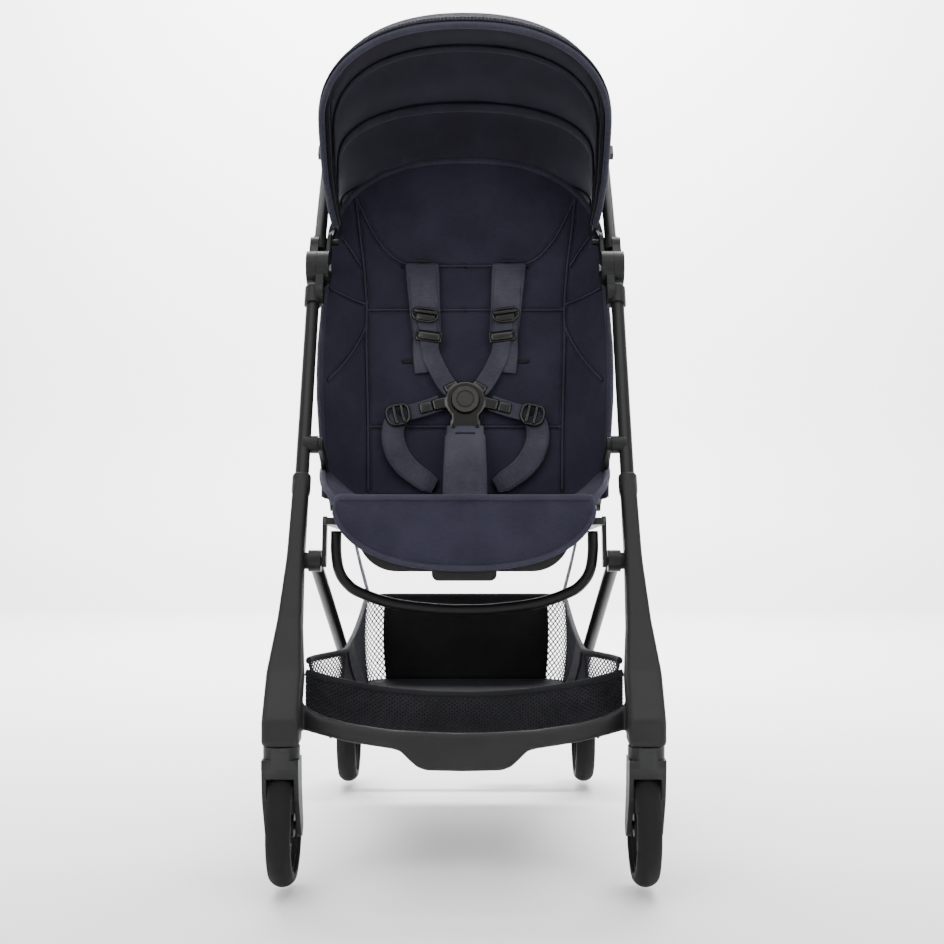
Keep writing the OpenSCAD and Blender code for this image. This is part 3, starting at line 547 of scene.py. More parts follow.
def screw_tree():
    """Button-headed screws at points, each turned to its point's normal, with a hexagon socket."""
    tree, given = geometry_tree("screws", {"Radius": 4.2 * MM, "Height": 2.2 * MM})
    head = add(tree, "GeometryNodeMeshCone",
               {"Vertices": 20, "Radius Top": 2.6 * MM, "Radius Bottom": given["Radius"],
                                              "Depth": given["Height"]})
    well = add(tree, "GeometryNodeMeshCylinder", {"Vertices": 6, "Radius": 1.7 * MM, "Depth": 6 * MM})
    cut = add(tree, "GeometryNodeMeshBoolean",
              {"Mesh 1": head.outputs["Mesh"], "Mesh 2": well.outputs["Mesh"]},
              operation="DIFFERENCE")
    facing = add(tree, "FunctionNodeAlignRotationToVector",
                 {"Vector": add(tree, "GeometryNodeInputNormal").outputs[0]}, axis="Z")
    placed = add(tree, "GeometryNodeInstanceOnPoints", {
        "Points": given["Geometry"], "Instance": cut.outputs["Mesh"], "Rotation": facing.outputs[0]})
    real = add(tree, "GeometryNodeRealizeInstances", {"Geometry": placed.outputs[0]})
    done = add(tree, "GeometryNodeSetMaterial", {"Geometry": real.outputs[0], "Material": given["Finish"]})
    add(tree, "NodeGroupOutput", {"Geometry": done.outputs[0]})
    return tree


def grown(made, tree, finish, **sizes):
    """Runs a geometry tree on a piece and makes the result real."""
    extra = made.modifiers.new("grown", "NODES")
    extra.node_group = tree
    for item in tree.interface.items_tree:
        if item.in_out == "INPUT" and item.name == "Finish":
            extra[item.identifier] = finish
        elif item.in_out == "INPUT" and item.name in sizes:
            extra[item.identifier] = sizes[item.name]
    made.update_tag()
    return plain(made)


STITCHES, NET, SCREWS = stitch_tree(), net_tree(), screw_tree()


def stitched(name, lines, body, slot, thread=SEWING_THREAD, **sizes):
    """Rows of stitches along polylines, riding on a body."""
    points, edges = [], []
    for line in lines:
        start = len(points)
        points += [tuple(p) for p in line]
        edges += [(start + i, start + i + 1) for i in range(len(line) - 1)]
    mesh = bpy.data.meshes.new(name)
    mesh.from_pydata(points, edges, [])
    made = bpy.data.objects.new(name, mesh)
    bpy.context.scene.collection.objects.link(made)
    grown(made, STITCHES, thread, **sizes)
    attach(made, body)
    return made


# ---- Back of the seat: a lined bucket with wings ----
def by_height(heights, values):
    return lambda h: np.interp(h, heights, values)


SEAM_X = by_height([0, 98, 226, 272, 331, 390, 441, 495], [129, 131, 136, 136, 141, 149, 155, 156])
EDGE_X = by_height([0, 62, 110, 190, 260, 330, 371, 395], [183, 184, 186, 188, 189, 189, 188, 186.5])
EDGE_F = by_height([0, 20, 62, 110, 150, 190, 260, 330, 371, 420, 495],
                   [58, 68, 92, 112, 114, 105, 74, 46, 38, 35, 31])
PAD_F = 28.5
HEAD_LOW, HEAD_TOP, HEAD_HALF, HEAD_ROUND = 325, 490, 191, 2.5


def head_top(x):
    """Height of the lining's top edge, a flat arch with round shoulders."""
    across = np.minimum(abs(x), 0.985 * HEAD_HALF) / HEAD_HALF
    return HEAD_LOW + (HEAD_TOP - HEAD_LOW) * (1 - across**HEAD_ROUND) ** (1 / HEAD_ROUND)


def liner_f(x, h):
    """How far the lining stands out of the back at a point, in millimetres."""
    seam, edge = SEAM_X(h), EDGE_X(h)
    t = np.clip((abs(x) - seam) / (edge - seam), 0, 1)
    return PAD_F + (EDGE_F(h) - PAD_F) * t**1.6


def on_liner(x, h, lift=0.0):
    x, h = np.broadcast_arrays(np.asarray(x, float), np.asarray(h, float))
    return on_back(x, h, liner_f(x, h) + lift)


def liner_grid(centre=56, wing=15, rows=100):
    outer = np.arange(1, wing + 1) / wing
    s = np.concatenate([-1 - outer[::-1], np.linspace(-1, 1, centre + 1), 1 + outer])[None, :]
    v = np.linspace(0, 1, rows)[:, None]
    low = 3 - 10 * smoothstep(1.0, 1.6, abs(s))
    h = low + v * (HEAD_TOP - low)
    for _ in range(4):
        seam, edge = SEAM_X(h), EDGE_X(h)
        x = np.where(abs(s) <= 1, s * seam, np.sign(s) * (seam + (abs(s) - 1) * (edge - seam)))
        top = head_top(x[-1:])
        h = low + v * (top - low)
    return x, h, s


liner_x, liner_h, liner_s = liner_grid()
liner_front = on_liner(liner_x, liner_h)
liner_normal = normals_of(liner_front)
if (liner_normal[50, 40] @ OUT_OF_BACK) < 0:
    liner_normal = -liner_normal
to_edge = np.minimum(head_top(liner_x) - liner_h, 40)
liner_thick = (20 - 11 * smoothstep(1.0, 1.9, abs(liner_s))) * (0.62 + 0.38 * smoothstep(0, 22, to_edge))
liner_rear = liner_front - liner_normal * liner_thick[..., None] * MM


def lines_on_liner(routes, lift=0.0):
    """Polylines on the lining through (x, h) points, one on each side."""
    made = []
    for route in routes:
        length = np.linalg.norm(np.diff(np.array(route, float), axis=0), axis=1).sum()
        flat = curve_through(route, max(6, int(length / 5)))
        line = on_liner(flat[:, 0], flat[:, 1], lift)
        made += [line, mirrored(line)]
    return made


heights = np.arange(8, 430, 12.0)
UPRIGHT_SEAM = [(float(SEAM_X(h)), h) for h in heights] + [(154, 435)]
HEAD_SEAM = [(0, 331), (30, 331), (60, 331), (84, 334.5), (104, 347), (122, 369), (136, 394), (147, 418),
             (154, 435)]
CROSS_SEAMS = [[(0, 266), (60, 266), (136, 266)], [(0, 98), (60, 98), (131, 98)]]
WING_SEAMS = [[(136, 274), (160, 280), (185, 286)], [(136, 242), (156, 194), (180, 141)],
              [(145, 331), (158, 352), (176, 378)]]
seams = lines_on_liner([UPRIGHT_SEAM, HEAD_SEAM, *CROSS_SEAMS, *WING_SEAMS])

back_liner = pad("seat_lining_back", liner_front, liner_rear, FINISHES["seat_fabric"], 0.15)
co = coordinates(back_liner.data)
depth_in = np.min([distance_to(co, [liner_front[i] for i in (0, -1)]),
                   distance_to(co, [liner_front[:, 0], liner_front[:, -1]])], axis=0)
out_mm = (co - HINGE) @ OUT_OF_BACK / MM
from_front = liner_f(co[:, 0] / MM, (co - HINGE) @ UP_BACK / MM) - out_mm
held = (distance_to(co, seams) < 3.0 * MM) | (from_front > 4.5) | (depth_in < 3 * MM)
puff(back_liner, held, pressure=4.0, cap=5.0)
softened(back_liner)
sewn(back_liner, seams, depth=3.0, width=3.2)
slots = [np.array([on_liner(x, h) for x in np.linspace(a, b, 9)]) for a, b, h in
         ((-86, -50, 331), (50, 86, 331), (-86, -48, 190), (48, 86, 190))]
sewn(back_liner, slots, depth=6.0, width=3.0)
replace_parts(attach(back_liner, "backrest"), "back_pad", "side_wings")

edge_path = np.concatenate([liner_front[:, 0], liner_front[-1, 1:-1], liner_front[::-1, -1]])
edge_in = np.concatenate([liner_front[:, 1], liner_front[-2, 1:-1], liner_front[::-1, -2]])
edge_rear = np.concatenate([liner_rear[:, 0], liner_rear[-1, 1:-1], liner_rear[::-1, -1]])
edge_normal = unit(edge_path - edge_rear)
edge_both = curve_through(np.concatenate([edge_path + unit(edge_path - edge_in) * 0.8 * MM - edge_normal
                                          * 1.4 * MM, edge_normal], axis=1)[::4], 230)
liner_piping = sweep("seat_lining_binding", edge_both[:, :3], edge_both[:, 3:], 4.6, 3.4, PIPING)
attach(liner_piping, "backrest")


def beside(line, away):
    """A line moved sideways on the back by some millimetres."""
    way = unit(np.cross(np.gradient(line, axis=0), OUT_OF_BACK))
    return line + way * away * MM


cords = [sweep(f"seam_{i}", s + OUT_OF_BACK * 0.3 * MM, np.tile(OUT_OF_BACK, (len(s), 1)), 1.5, 1.3,
               PIPING) for i, s in enumerate(seams)]
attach(join("seat_lining_seams", cords), "backrest")
rows = []
for line in seams:
    rows += [beside(line, 3.4), beside(line, -3.4)]
stitched("seat_lining_stitches", [r + OUT_OF_BACK * 0.9 * MM for r in rows], "backrest", "seat_fabric")
# Painted shade: near-black bands along the harness slots, and where the shoulder straps go in, stand for the shade
# inside the slits.
slots += [np.array([on_liner(s * x, 333, 12.5) for x in np.linspace(50, 70, 9)]) for s in (-1, 1)]
slot_shade_bands = [sweep(f"slot_shade_band_{i}", s + OUT_OF_BACK * 2.2 * MM, np.tile(OUT_OF_BACK, (len(s), 1)), 2.4, 1.4,
              SLOT_SHADE) for i, s in enumerate(slots)]
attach(join("harness_slot_shade_bands", slot_shade_bands), "backrest")


# ---- Seat base with side bolsters ----
def seat_point(x, y, lift):
    """A point over the seat: y runs back from the seat's front edge."""
    low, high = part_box("seat_cushion")
    slope = math.tan(math.radians(4))
    x, y, lift = np.broadcast_arrays(*[np.asarray(v, float) for v in (x, y, lift)])
    return np.stack([x * MM, low.y + y * MM, high.z - y * MM * slope + lift * MM], -1)


SEAT_EDGE = by_height([-8, 0, 12, 30, 60, 100, 165, 226], [146, 152, 160, 166, 171, 176, 182, 186])
SEAT_RISE = by_height([-8, 0, 30, 80, 160, 226], [0, 3, 15, 28, 44, 56])
seat_u = np.linspace(-1, 1, 67)[None, :]
seat_y = np.linspace(-6, 224, 46)[:, None] + 0 * seat_u
seat_x = seat_u * SEAT_EDGE(seat_y)
climb = np.clip((abs(seat_x) - 118) / (SEAT_EDGE(seat_y) - 118), 0, 1) ** 1.5
nose = -10 * (1 - smoothstep(-6, 12, seat_y))
seat_top = seat_point(seat_x, seat_y, -2.5 + nose + SEAT_RISE(seat_y) * climb)
seat_under = seat_point(seat_x * 0.985, seat_y, -23.3 + (SEAT_RISE(seat_y) * 0.9 + 11) * climb)
seat_seams = [seat_top[:, j] for j in (12, 54)] + [seat_top[i, 12:55] for i in (16, 31)]
seat_base = pad("seat_lining_base", seat_top, seat_under, FINISHES["seat_fabric"], 0.2)
co = coordinates(seat_base.data)
held = (distance_to(co, seat_seams) < 3.0 * MM) | (distance_to(co, list(seat_top[::3])) > 7.5 * MM)
puff(seat_base, held, pressure=4.0, cap=5.0)
softened(seat_base)
sewn(seat_base, seat_seams, depth=2.6, width=2.8)
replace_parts(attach(seat_base, "chassis"), "seat_cushion")
bolster_edge = [seat_top[:, -1], seat_top[:, 0]]
bolster_piping = [sweep(f"bolster_{i}", curve_through(e[::3], 60), np.tile([0, -0.3, 1.0], (60, 1)), 4.2,
                        3.2, PIPING)
                  for i, e in enumerate(bolster_edge)]
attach(join("seat_base_binding", bolster_piping), "chassis")


def beside(lines, way):
    """Both edges of each seam, way millimetres from it and just above the cloth."""
    return [line + np.array([0, 0, 1.2 * MM]) + sign * np.array(way) * MM
            for line in lines for sign in (1, -1)]


stitched("seat_base_stitches", beside(seat_seams[:2], (3.4, 0, 0)) + beside(seat_seams[2:], (0, 3.4, 0)),
         "chassis", "seat_fabric")

# ---- Leg rest flap ----
flap_low, flap_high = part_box("leg_rest_pad")
flap_half, flap_drop = (flap_high.x - flap_low.x) / 2, flap_high.z - flap_low.z
flap_u = np.sin(np.radians(np.linspace(-80, 80, 63)))[None, :]
flap_v = np.linspace(0, 1, 20)[:, None]
flap_bottom = (1 - abs(flap_u / 0.998) ** 2.3) ** (1 / 2.3)
flap_z = flap_high.z - 0.5 * MM - flap_drop * flap_v * flap_bottom
flap_y = flap_low.y + (4.2 + 2.5 * abs(flap_u) ** 2 + 4.0 * (2 * flap_v - 1) ** 4) * MM
flap_front = np.stack([flap_u * flap_half * 0.995 + 0 * flap_z, flap_y + 0 * flap_z, flap_z], -1)
flap_back = flap_front.copy()
flap_back[..., 1] = flap_high.y - 0.6 * MM
flap = pad("leg_rest_flap", flap_front, flap_back, FINISHES["seat_fabric"], 0.2)
co = coordinates(flap.data)
puff(flap, co[:, 1] > flap_high.y - 5 * MM, pressure=4.0, cap=3.5)
softened(flap)
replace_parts(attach(flap, "leg_rest"), "leg_rest_pad")
around = np.concatenate([flap_front[-1], flap_front[0, ::-1][2:-2]])
around = curve_through(np.concatenate([around, around[:1]]), 161)[:-1] + np.array([0, -0.5 * MM, 0])
flap_piping = sweep("leg_rest_binding", around, np.tile([0, -1.0, 0], (160, 1)), 3.6, 2.8, PIPING,
                    closed=True)
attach(flap_piping, "leg_rest")
centre = np.array([0, 0, float(flap_high.z - flap_drop * 0.4)])
inner = around + unit((centre - around) * np.array([1, 0, 1])) * 6.0 * MM + np.array([0, -0.8 * MM, 0])
stitched("leg_rest_stitches", [np.concatenate([inner, inner[:1]])], "leg_rest", "seat_fabric")


# ---- Hood ----
HOOD_BOWS = [26, 52, 77, 101.8, 124.4]
HOOD_INSET = by_height([26, 77, 101.8, 124.4], [16, 12.5, 6, 0.6])
HOOD_R, HOOD_SHOULDER, HOOD_ROUND = 302.0, 165.0, 2.25
HOOD_SIDE = by_height([18, 50, 90, 165], [175.2, 181.5, 185.8, 188])


def hood_arch(theta, count=93, reach=0.0, low=30.0):
    """The hood's outline across at an angle above the rear, from hub to hub."""
    inset = float(HOOD_INSET(theta))
    crown, side = HOOD_R - inset, 188 - 0.4 * inset
    turn = np.linspace(math.pi / 2, 0, 90)[1:]
    straight = np.linspace(low, HOOD_SHOULDER, 40)
    r = np.concatenate([straight, HOOD_SHOULDER + (crown - HOOD_SHOULDER) * np.cos(turn) ** (2 / HOOD_ROUND)])
    x = np.concatenate([HOOD_SIDE(straight) - 0.4 * inset, side * np.sin(turn) ** (2 / HOOD_ROUND)])
    bay = next(((a, b) for a, b in zip(HOOD_BOWS[:-1], HOOD_BOWS[1:]) if a <= theta <= b),
               (theta - 1, theta + 1))
    t = (theta - bay[0]) / (bay[1] - bay[0])
    sag = 5.0 * math.sin(math.pi * min(max(t, 0), 1)) ** 2
    crown_share = smoothstep(120, 250, r)
    way = unit(np.stack([r - 0.3 * crown, x], -1)) * crown_share[:, None]
    r = r - (sag - reach) * way[:, 0]
    x = x - (sag - reach) * way[:, 1] - sag * 0.35 * (1 - crown_share) + reach * (1 - crown_share)
    half = np.stack([x, r * math.cos(math.radians(theta)), r * math.sin(math.radians(theta))], -1)
    whole = np.concatenate([half * np.array([-1, 1, 1]), half[::-1][1:]]) * MM + PIVOT
    return curve_through(whole[::2], count)


def hood_facing(line):
    """Outward directions of an arch of the hood."""
    crown = line[len(line) // 2] - PIVOT
    centre = PIVOT + crown * np.array([0, 1, 1]) * 0.3
    return unit(line - centre)


def hood_low(theta):
    return float(np.interp(theta, [26, 60, 125], [40, 34, 22]))


rear_angles = np.concatenate([np.arange(26, 101.8, 1.25), [101.8]])
hood_rear = cloth("hood_rear_cloth", np.array([hood_arch(t, low=hood_low(t)) for t in rear_angles]),
                  FINISHES["canopy_fabric"])
visor_angles = np.linspace(101.8, 124.4, 20)
hood_visor = cloth("hood_visor_cloth", np.array([hood_arch(t, low=hood_low(t)) for t in visor_angles]),
                   FINISHES["canopy_fabric"])
sleeves = []
for angle in (27.5, 52, 77):
    arch = hood_arch(angle, low=hood_low(angle) + 6, reach=-2.6)
    sleeves.append(sweep(f"sleeve_{angle}", arch, hood_facing(arch), 8.5, 2.4, FINISHES["canopy_fabric"]))
hood_rear = join("hood_rear_cloth", [hood_rear, *sleeves])
arch = hood_arch(103.5, low=hood_low(103), reach=-2.6)
visor_sleeve = sweep("visor_sleeve", arch, hood_facing(arch), 9.0, 2.6, FINISHES["canopy_fabric"])
hood_visor = join("hood_visor_cloth", [hood_visor, visor_sleeve])


def arch_length(theta):
    return float(np.linalg.norm(np.diff(hood_arch(theta), axis=0), axis=1).sum())


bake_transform(hood_rear)
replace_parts(hood_rear, "canopy_rear_panel", "canopy_mid_panel")
round(arch_length(77), 3)
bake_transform(hood_visor)
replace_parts(hood_visor, "canopy_visor")
round(arch_length(113), 3)
arch = hood_arch(124.6, low=24, reach=-0.6, count=120)
rim = sweep("hood_rim_binding", arch, hood_facing(arch), 7.4, 4.2, FINISHES["canopy_binding"])
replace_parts(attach(rim, "canopy_front"), "canopy_front_bow")
arch = hood_arch(101.8, low=20, reach=-5.5, count=120)
bow = sweep("hood_middle_bow", arch, hood_facing(arch), 5.0, 3.0, FINISHES["frame_tube"])
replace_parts(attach(bow, "canopy_middle"), "canopy_mid_bow")
hem = []
for angle, away in ((121.9, 1.2), (123.0, 1.2)):
    hem.append(hood_arch(angle, low=40, reach=away))
stitched("hood_rim_stitches", hem, "canopy_front", "canopy_binding")


# ---- Harness ----
def band(name, route, wide, thick, material, count=40, square=0.45):
    """A strap along (x, h, f) points of the back."""
    line = curve_through(route, count)
    path = on_back(line[:, 0], line[:, 1], line[:, 2])
    return sweep(name, path, np.tile(OUT_OF_BACK, (count, 1)), wide, thick, material, square=square)


def both_sides(name, route, wide, thick, material, count=40, square=0.45):
    parts = []
    for side in (-1, 1):
        parts.append(band(f"{name}_{side}", [(side * x, h, f) for x, h, f in route], wide, thick, material,
                          count, square))
    return parts


FRONT_F = 33.0
shoulder = [(60, 333, FRONT_F - 8), (60, 327, FRONT_F + 3), (59, 314, FRONT_F + 5),
            (56, 270, FRONT_F + 4.5), (52.5, 228, FRONT_F + 4), (51, 207, FRONT_F + 3.5)]
taper = np.interp(np.linspace(0, 1, 60), [0, 0.05, 0.2, 0.85, 0.93, 1], [20, 23, 23, 19.5, 17, 11])
thickness = np.interp(np.linspace(0, 1, 60), [0, 0.06, 0.5, 0.95, 1], [2.5, 3.6, 4.0, 3.4, 1.6])
shoulders = join("shoulder_pads",
                 both_sides("shoulder", shoulder, taper, thickness, FINISHES["webbing"], 60, 0.5))
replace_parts(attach(shoulders, "backrest"), "harness_straps")

over = [(56, 276, FRONT_F + 7.4), (54, 262, FRONT_F + 10.4), (53, 252, FRONT_F + 13.0),
        (52, 242, FRONT_F + 10.6), (51, 231, FRONT_F + 9.0), (50, 221, FRONT_F + 12.6),
        (49, 212, FRONT_F + 11), (48, 202, FRONT_F + 7.6), (44, 190, FRONT_F + 6.0),
        (31, 163, FRONT_F + 8.5), (22, 150, FRONT_F + 8.8), (15, 144, FRONT_F + 8.5)]
tails = both_sides("tail", over, 12.5, 1.1, FINISHES["webbing"], 90, 0.35)
tails += both_sides("loose_end",
                    [(60, 226, FRONT_F + 9), (61, 205, FRONT_F + 7.5), (60, 188, FRONT_F + 3.6),
                     (58, 172, FRONT_F + 3)],
                    10.5, 1.0, FINISHES["webbing"], 30, 0.35)
tails += both_sides("hip_link",
                    [(34, 128, FRONT_F + 7.5), (50, 122, FRONT_F + 7.5), (66, 117, FRONT_F + 7),
                     (82, 113, FRONT_F + 7)],
                    11, 1.1, FINISHES["webbing"], 30, 0.35)
tails = join("harness_webbing", tails)
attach(tails, "backrest")

hip = [(89, 110, FRONT_F + 5), (96, 96, FRONT_F + 5), (97, 78, FRONT_F + 5), (90, 56, FRONT_F + 5.5),
       (76, 37, FRONT_F + 6), (56, 22, FRONT_F + 5), (40, 14, FRONT_F + 2)]
hip_wide = np.interp(np.linspace(0, 1, 60), [0, 0.1, 0.5, 0.9, 1], [12, 15, 16, 14, 10])
hip_thick = np.interp(np.linspace(0, 1, 60), [0, 0.1, 0.9, 1], [1.5, 3.6, 3.6, 2])
hips = join("hip_pads", both_sides("hip", hip, hip_wide, hip_thick, FINISHES["webbing"], 60, 0.5))
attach(hips, "backrest")


def rows_of(route, wide, lift, inset=3.0, count=50):
    """Stitch lines near both edges of a strap, on both sides of the harness."""
    made = []
    for side in (-1, 1):
        line = curve_through([(side * x, h, f) for x, h, f in route], count)
        path = on_back(line[:, 0], line[:, 1], line[:, 2])
        across = np.cross(unit(np.gradient(path, axis=0)), OUT_OF_BACK)
        half = np.broadcast_to(np.asarray(wide, float), (count,))[:, None] - inset
        made += [path + across * half * MM * s + OUT_OF_BACK * lift * MM for s in (-1, 1)]
    return made


stitched("harness_stitches", rows_of(shoulder[1:], 21.5, 3.4) + rows_of(hip[1:-1], 14.5, 3.0),
         "backrest", "webbing",
         Pitch=4.2 * MM, Length=2.8 * MM)


def block(name, half, corner, at, turn=0.0, segments=3):
    """A box with rounded edges at (x, h, f) on the back, turned in the back's plane; sizes in millimetres."""
    shape = bmesh.new()
    bmesh.ops.create_cube(shape, size=2.0)
    for v in shape.verts:
        v.co = Vector((v.co.x * half[0], v.co.y * half[1], v.co.z * half[2]))
    bmesh.ops.bevel(shape, geom=shape.edges[:], offset=corner, segments=segments, affect="EDGES", profile=0.5)
    mesh = bpy.data.meshes.new(name)
    shape.to_mesh(mesh)
    shape.free()
    co = coordinates(mesh)
    c, s = math.cos(math.radians(turn)), math.sin(math.radians(turn))
    move_to(mesh, on_back(at[0] + co[:, 0] * c - co[:, 1] * s, at[1] + co[:, 0] * s + co[:, 1] * c,
                          at[2] + co[:, 2]))
    mesh.polygons.foreach_set("use_smooth", [True] * len(mesh.polygons))
    made = bpy.data.objects.new(name, mesh)
    bpy.context.scene.collection.objects.link(made)
    return made


def disc(name, radius, thick, at, segments=48, dish=0.0):
    """A round button shape at (x, h, f) on the back, with a rounded rim."""
    profile = [(0, thick - dish), (radius * 0.55, thick - dish * 0.6), (radius * 0.86, thick),
               (radius * 0.95, thick - 0.5),
               (radius, thick - 1.4), (radius, 0), (0, 0)]
    angle = np.linspace(0, 2 * math.pi, segments, endpoint=False)
    rings = np.array([[at[0] + r * np.cos(angle), at[1] + r * np.sin(angle), at[2] + f + 0 * angle]
                      for r, f in profile])
    points = on_back(rings[:, 0], rings[:, 1], rings[:, 2])
    return outwards(piece(name, points, grid_faces(len(profile), segments, closed=True)))


BUCKLE_H = 130.0
buckle_f = FRONT_F + 8.5
parts = [disc("buckle_body", 28, 8.5, (0, BUCKLE_H, buckle_f - 4)),
         block("neck", (20, 17, 5.5), 4, (0, BUCKLE_H - 19, buckle_f - 1)),
         block("foot", (22, 8, 5.0), 3.5, (0, BUCKLE_H - 33, buckle_f - 1))]
for side in (-1, 1):
    parts.append(block("shoulder_lug", (11, 12, 4.6), 3, (side * 16, BUCKLE_H + 15, buckle_f - 1),
                       side * -28))
    parts.append(block("hip_lug", (14, 8.5, 4.6), 3, (side * 31, BUCKLE_H - 3, buckle_f - 1), side * -14))
buckle = join("buckle_body", parts)
modified(buckle, "REMESH", mode="VOXEL", voxel_size=0.9 * MM)
modified(buckle, "SMOOTH", factor=0.6, iterations=5)
pocket = disc("button_pocket", 18.9, 14.0, (0, BUCKLE_H, buckle_f - 2.5))
modified(buckle, "BOOLEAN", object=pocket, operation="DIFFERENCE", solver="EXACT")
buckle = plain(buckle)
bpy.data.objects.remove(pocket)
buckle.data.materials.clear()
buckle.data.materials.append(FINISHES["buckle_plastic"])
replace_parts(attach(buckle, "backrest"), "harness_buckle")


def ring(name, half, bar, at, turn=0.0, flat=2.6):
    """A D-shaped wire ring of half sizes (across, up) and a bar radius, lying on the back at (x, h, f)."""
    angle = np.linspace(0, 2 * math.pi, 61)[:-1]
    across = half[0] * np.sign(np.cos(angle)) * abs(np.cos(angle)) ** (2 / 4)
    up = half[1] * np.sign(np.sin(angle)) * abs(np.sin(angle)) ** (2 / flat)
    across = across * np.where(up < 0, 1 - 0.35 * (up / half[1]) ** 2, 1)
    c, s = math.cos(math.radians(turn)), math.sin(math.radians(turn))
    path = on_back(at[0] + across * c - up * s, at[1] + across * s + up * c, np.full(60, float(at[2])))
    return sweep(name, path, np.tile(OUT_OF_BACK, (60, 1)), bar, bar, FINISHES["buckle_plastic"], closed=True)


fittings = []
for side in (-1, 1):
    lean = side * 8
    fittings += [ring("slide_ring", (17.5, 9.5), 1.9, (side * 55, 251, FRONT_F + 15.5), lean),
                 block("slide_bar", (16.5, 2.6, 2.4), 2, (side * 54.5, 255, FRONT_F + 17), lean),
                 block("slide_plate", (13, 5.5, 1.2), 1, (side * 54, 249, FRONT_F + 14.5), lean),
                 block("keeper", (16.5, 6.6, 4.2), 3.8, (side * 49.5, 221, FRONT_F + 13.5), lean),
                 block("keeper_rim", (18, 8, 2.2), 2, (side * 49.5, 221, FRONT_F + 12.6), lean),
                 block("tongue", (9, 7.5, 2.8), 2, (side * 53, 121, FRONT_F + 9), side * -14),
                 ring("hip_ring", (15, 13.5), 2.4, (side * 90, 110, FRONT_F + 10.5), side * -14, flat=4)]
    fittings += [block("hip_bar", (2.6, 13, 2.6), 2, (side * x, h, FRONT_F + 12), side * -14)
                 for x, h in ((84, 111.5), (94, 109))]
fittings = join("strap_adjusters", fittings)
fittings.data.materials.clear()
fittings.data.materials.append(FINISHES["buckle_plastic"])
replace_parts(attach(fittings, "backrest"), "strap_fittings")

crotch_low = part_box("crotch_strap")[0]
foot = np.array([0, crotch_low.y + 4 * MM, crotch_low.z + 2 * MM])
head = on_back(0, 97, buckle_f - 2)
middle = (foot + head) / 2 + np.array([0, -0.012, 0.004])
crotch_path = curve_through([foot, middle, head], 60)
crotch_facing = np.tile(unit(np.array([0, -1.0, 0.55])), (60, 1))
crotch_wide = np.interp(np.linspace(0, 1, 60), [0, 0.1, 0.82, 0.85, 0.97, 1], [28, 29, 27, 25, 25, 20])
crotch_thick = np.interp(np.linspace(0, 1, 60), [0, 0.82, 0.85, 1], [4.8, 4.8, 3.4, 3.4])
crotch = sweep("crotch_pad", crotch_path, crotch_facing, crotch_wide, crotch_thick, FINISHES["webbing"],
               square=0.5)
# Painted shade: near-black strips laid on the crotch pad stand for the shade inside its slit and two small slots.
slit_shades = []
for at, half, x0 in ((0.84, 13, 0), (0.95, 2.2, -16), (0.95, 2.2, 16)):
    spot = crotch_path[int(at * 59)] + crotch_facing[0] * 4.0 * MM
    line = spot + np.array([[x0 + x, 0, 0] for x in np.linspace(-half, half, 9)]) * MM
    slit_shades.append(sweep("crotch_slit_shade", line, crotch_facing[:9], 2.6, 1.6, SLOT_SHADE))
crotch = join("crotch_pad", [crotch, *slit_shades])
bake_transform(crotch)
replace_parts(crotch, "crotch_strap")

# ---- Basket ----
floor_low, floor_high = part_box("basket_floor")
rear_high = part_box("basket_rear")[1]
front_low, front_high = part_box("basket_front")
HALF = float(floor_high.x)
FLOOR_Z, FRONT_Y, REAR_Y = float(floor_low.z), float(front_low.y), float(rear_high.y)
WALL_CORNER = 0.035
long_side, rear_span = REAR_Y - FRONT_Y - WALL_CORNER, 2 * (HALF - WALL_CORNER)
round_corner = WALL_CORNER * math.pi / 2
whole_wall = 2 * long_side + rear_span + 2 * round_corner
NET_PITCH = 3.6 * MM
NET_FLARE, FLARE_DEPTH = 0.24, 0.1


def lip_z(y):
    """Height of the side walls' top edge at a depth."""
    t = (y - FRONT_Y) / (REAR_Y - FRONT_Y)
    return FLOOR_Z + (0.088 + 0.036 * t) - 0.012 * np.sin(math.pi * np.clip(t, 0, 1))


def basket_wall(u, t):
    """A point of the basket's wall: u from front left round the rear to front right, t from the floor up."""
    s, t = np.broadcast_arrays(u * whole_wall, t)
    x = np.zeros_like(s)
    y = np.zeros_like(s)
    for i in np.ndindex(s.shape):
        q = s[i]
        if q < long_side:
            x[i], y[i] = -HALF, FRONT_Y + q
        elif q < long_side + round_corner:
            a = (q - long_side) / WALL_CORNER
            x[i] = -HALF + WALL_CORNER - WALL_CORNER * math.cos(a)
            y[i] = REAR_Y - WALL_CORNER + WALL_CORNER * math.sin(a)
        elif q < long_side + round_corner + rear_span:
            x[i], y[i] = -HALF + WALL_CORNER + (q - long_side - round_corner), REAR_Y
        elif q < long_side + 2 * round_corner + rear_span:
            a = (q - long_side - round_corner - rear_span) / WALL_CORNER
            x[i] = HALF - WALL_CORNER + WALL_CORNER * math.sin(a)
            y[i] = REAR_Y - WALL_CORNER + WALL_CORNER * math.cos(a)
        else:
            x[i], y[i] = HALF, REAR_Y - WALL_CORNER - (q - long_side - 2 * round_corner - rear_span)
    bulge = 1 + 0.018 * np.sin(math.pi * np.clip(t, 0, 1)) - 0.02 * (1 - t) ** 3
    bulge = bulge + NET_FLARE * (1 - smoothstep(0, FLARE_DEPTH, y - FRONT_Y)) * (0.35 + 0.65 * t)
    z = FLOOR_Z + 0.001 + t * (lip_z(y) - FLOOR_Z)
    return np.stack([x * bulge, y, z], -1)


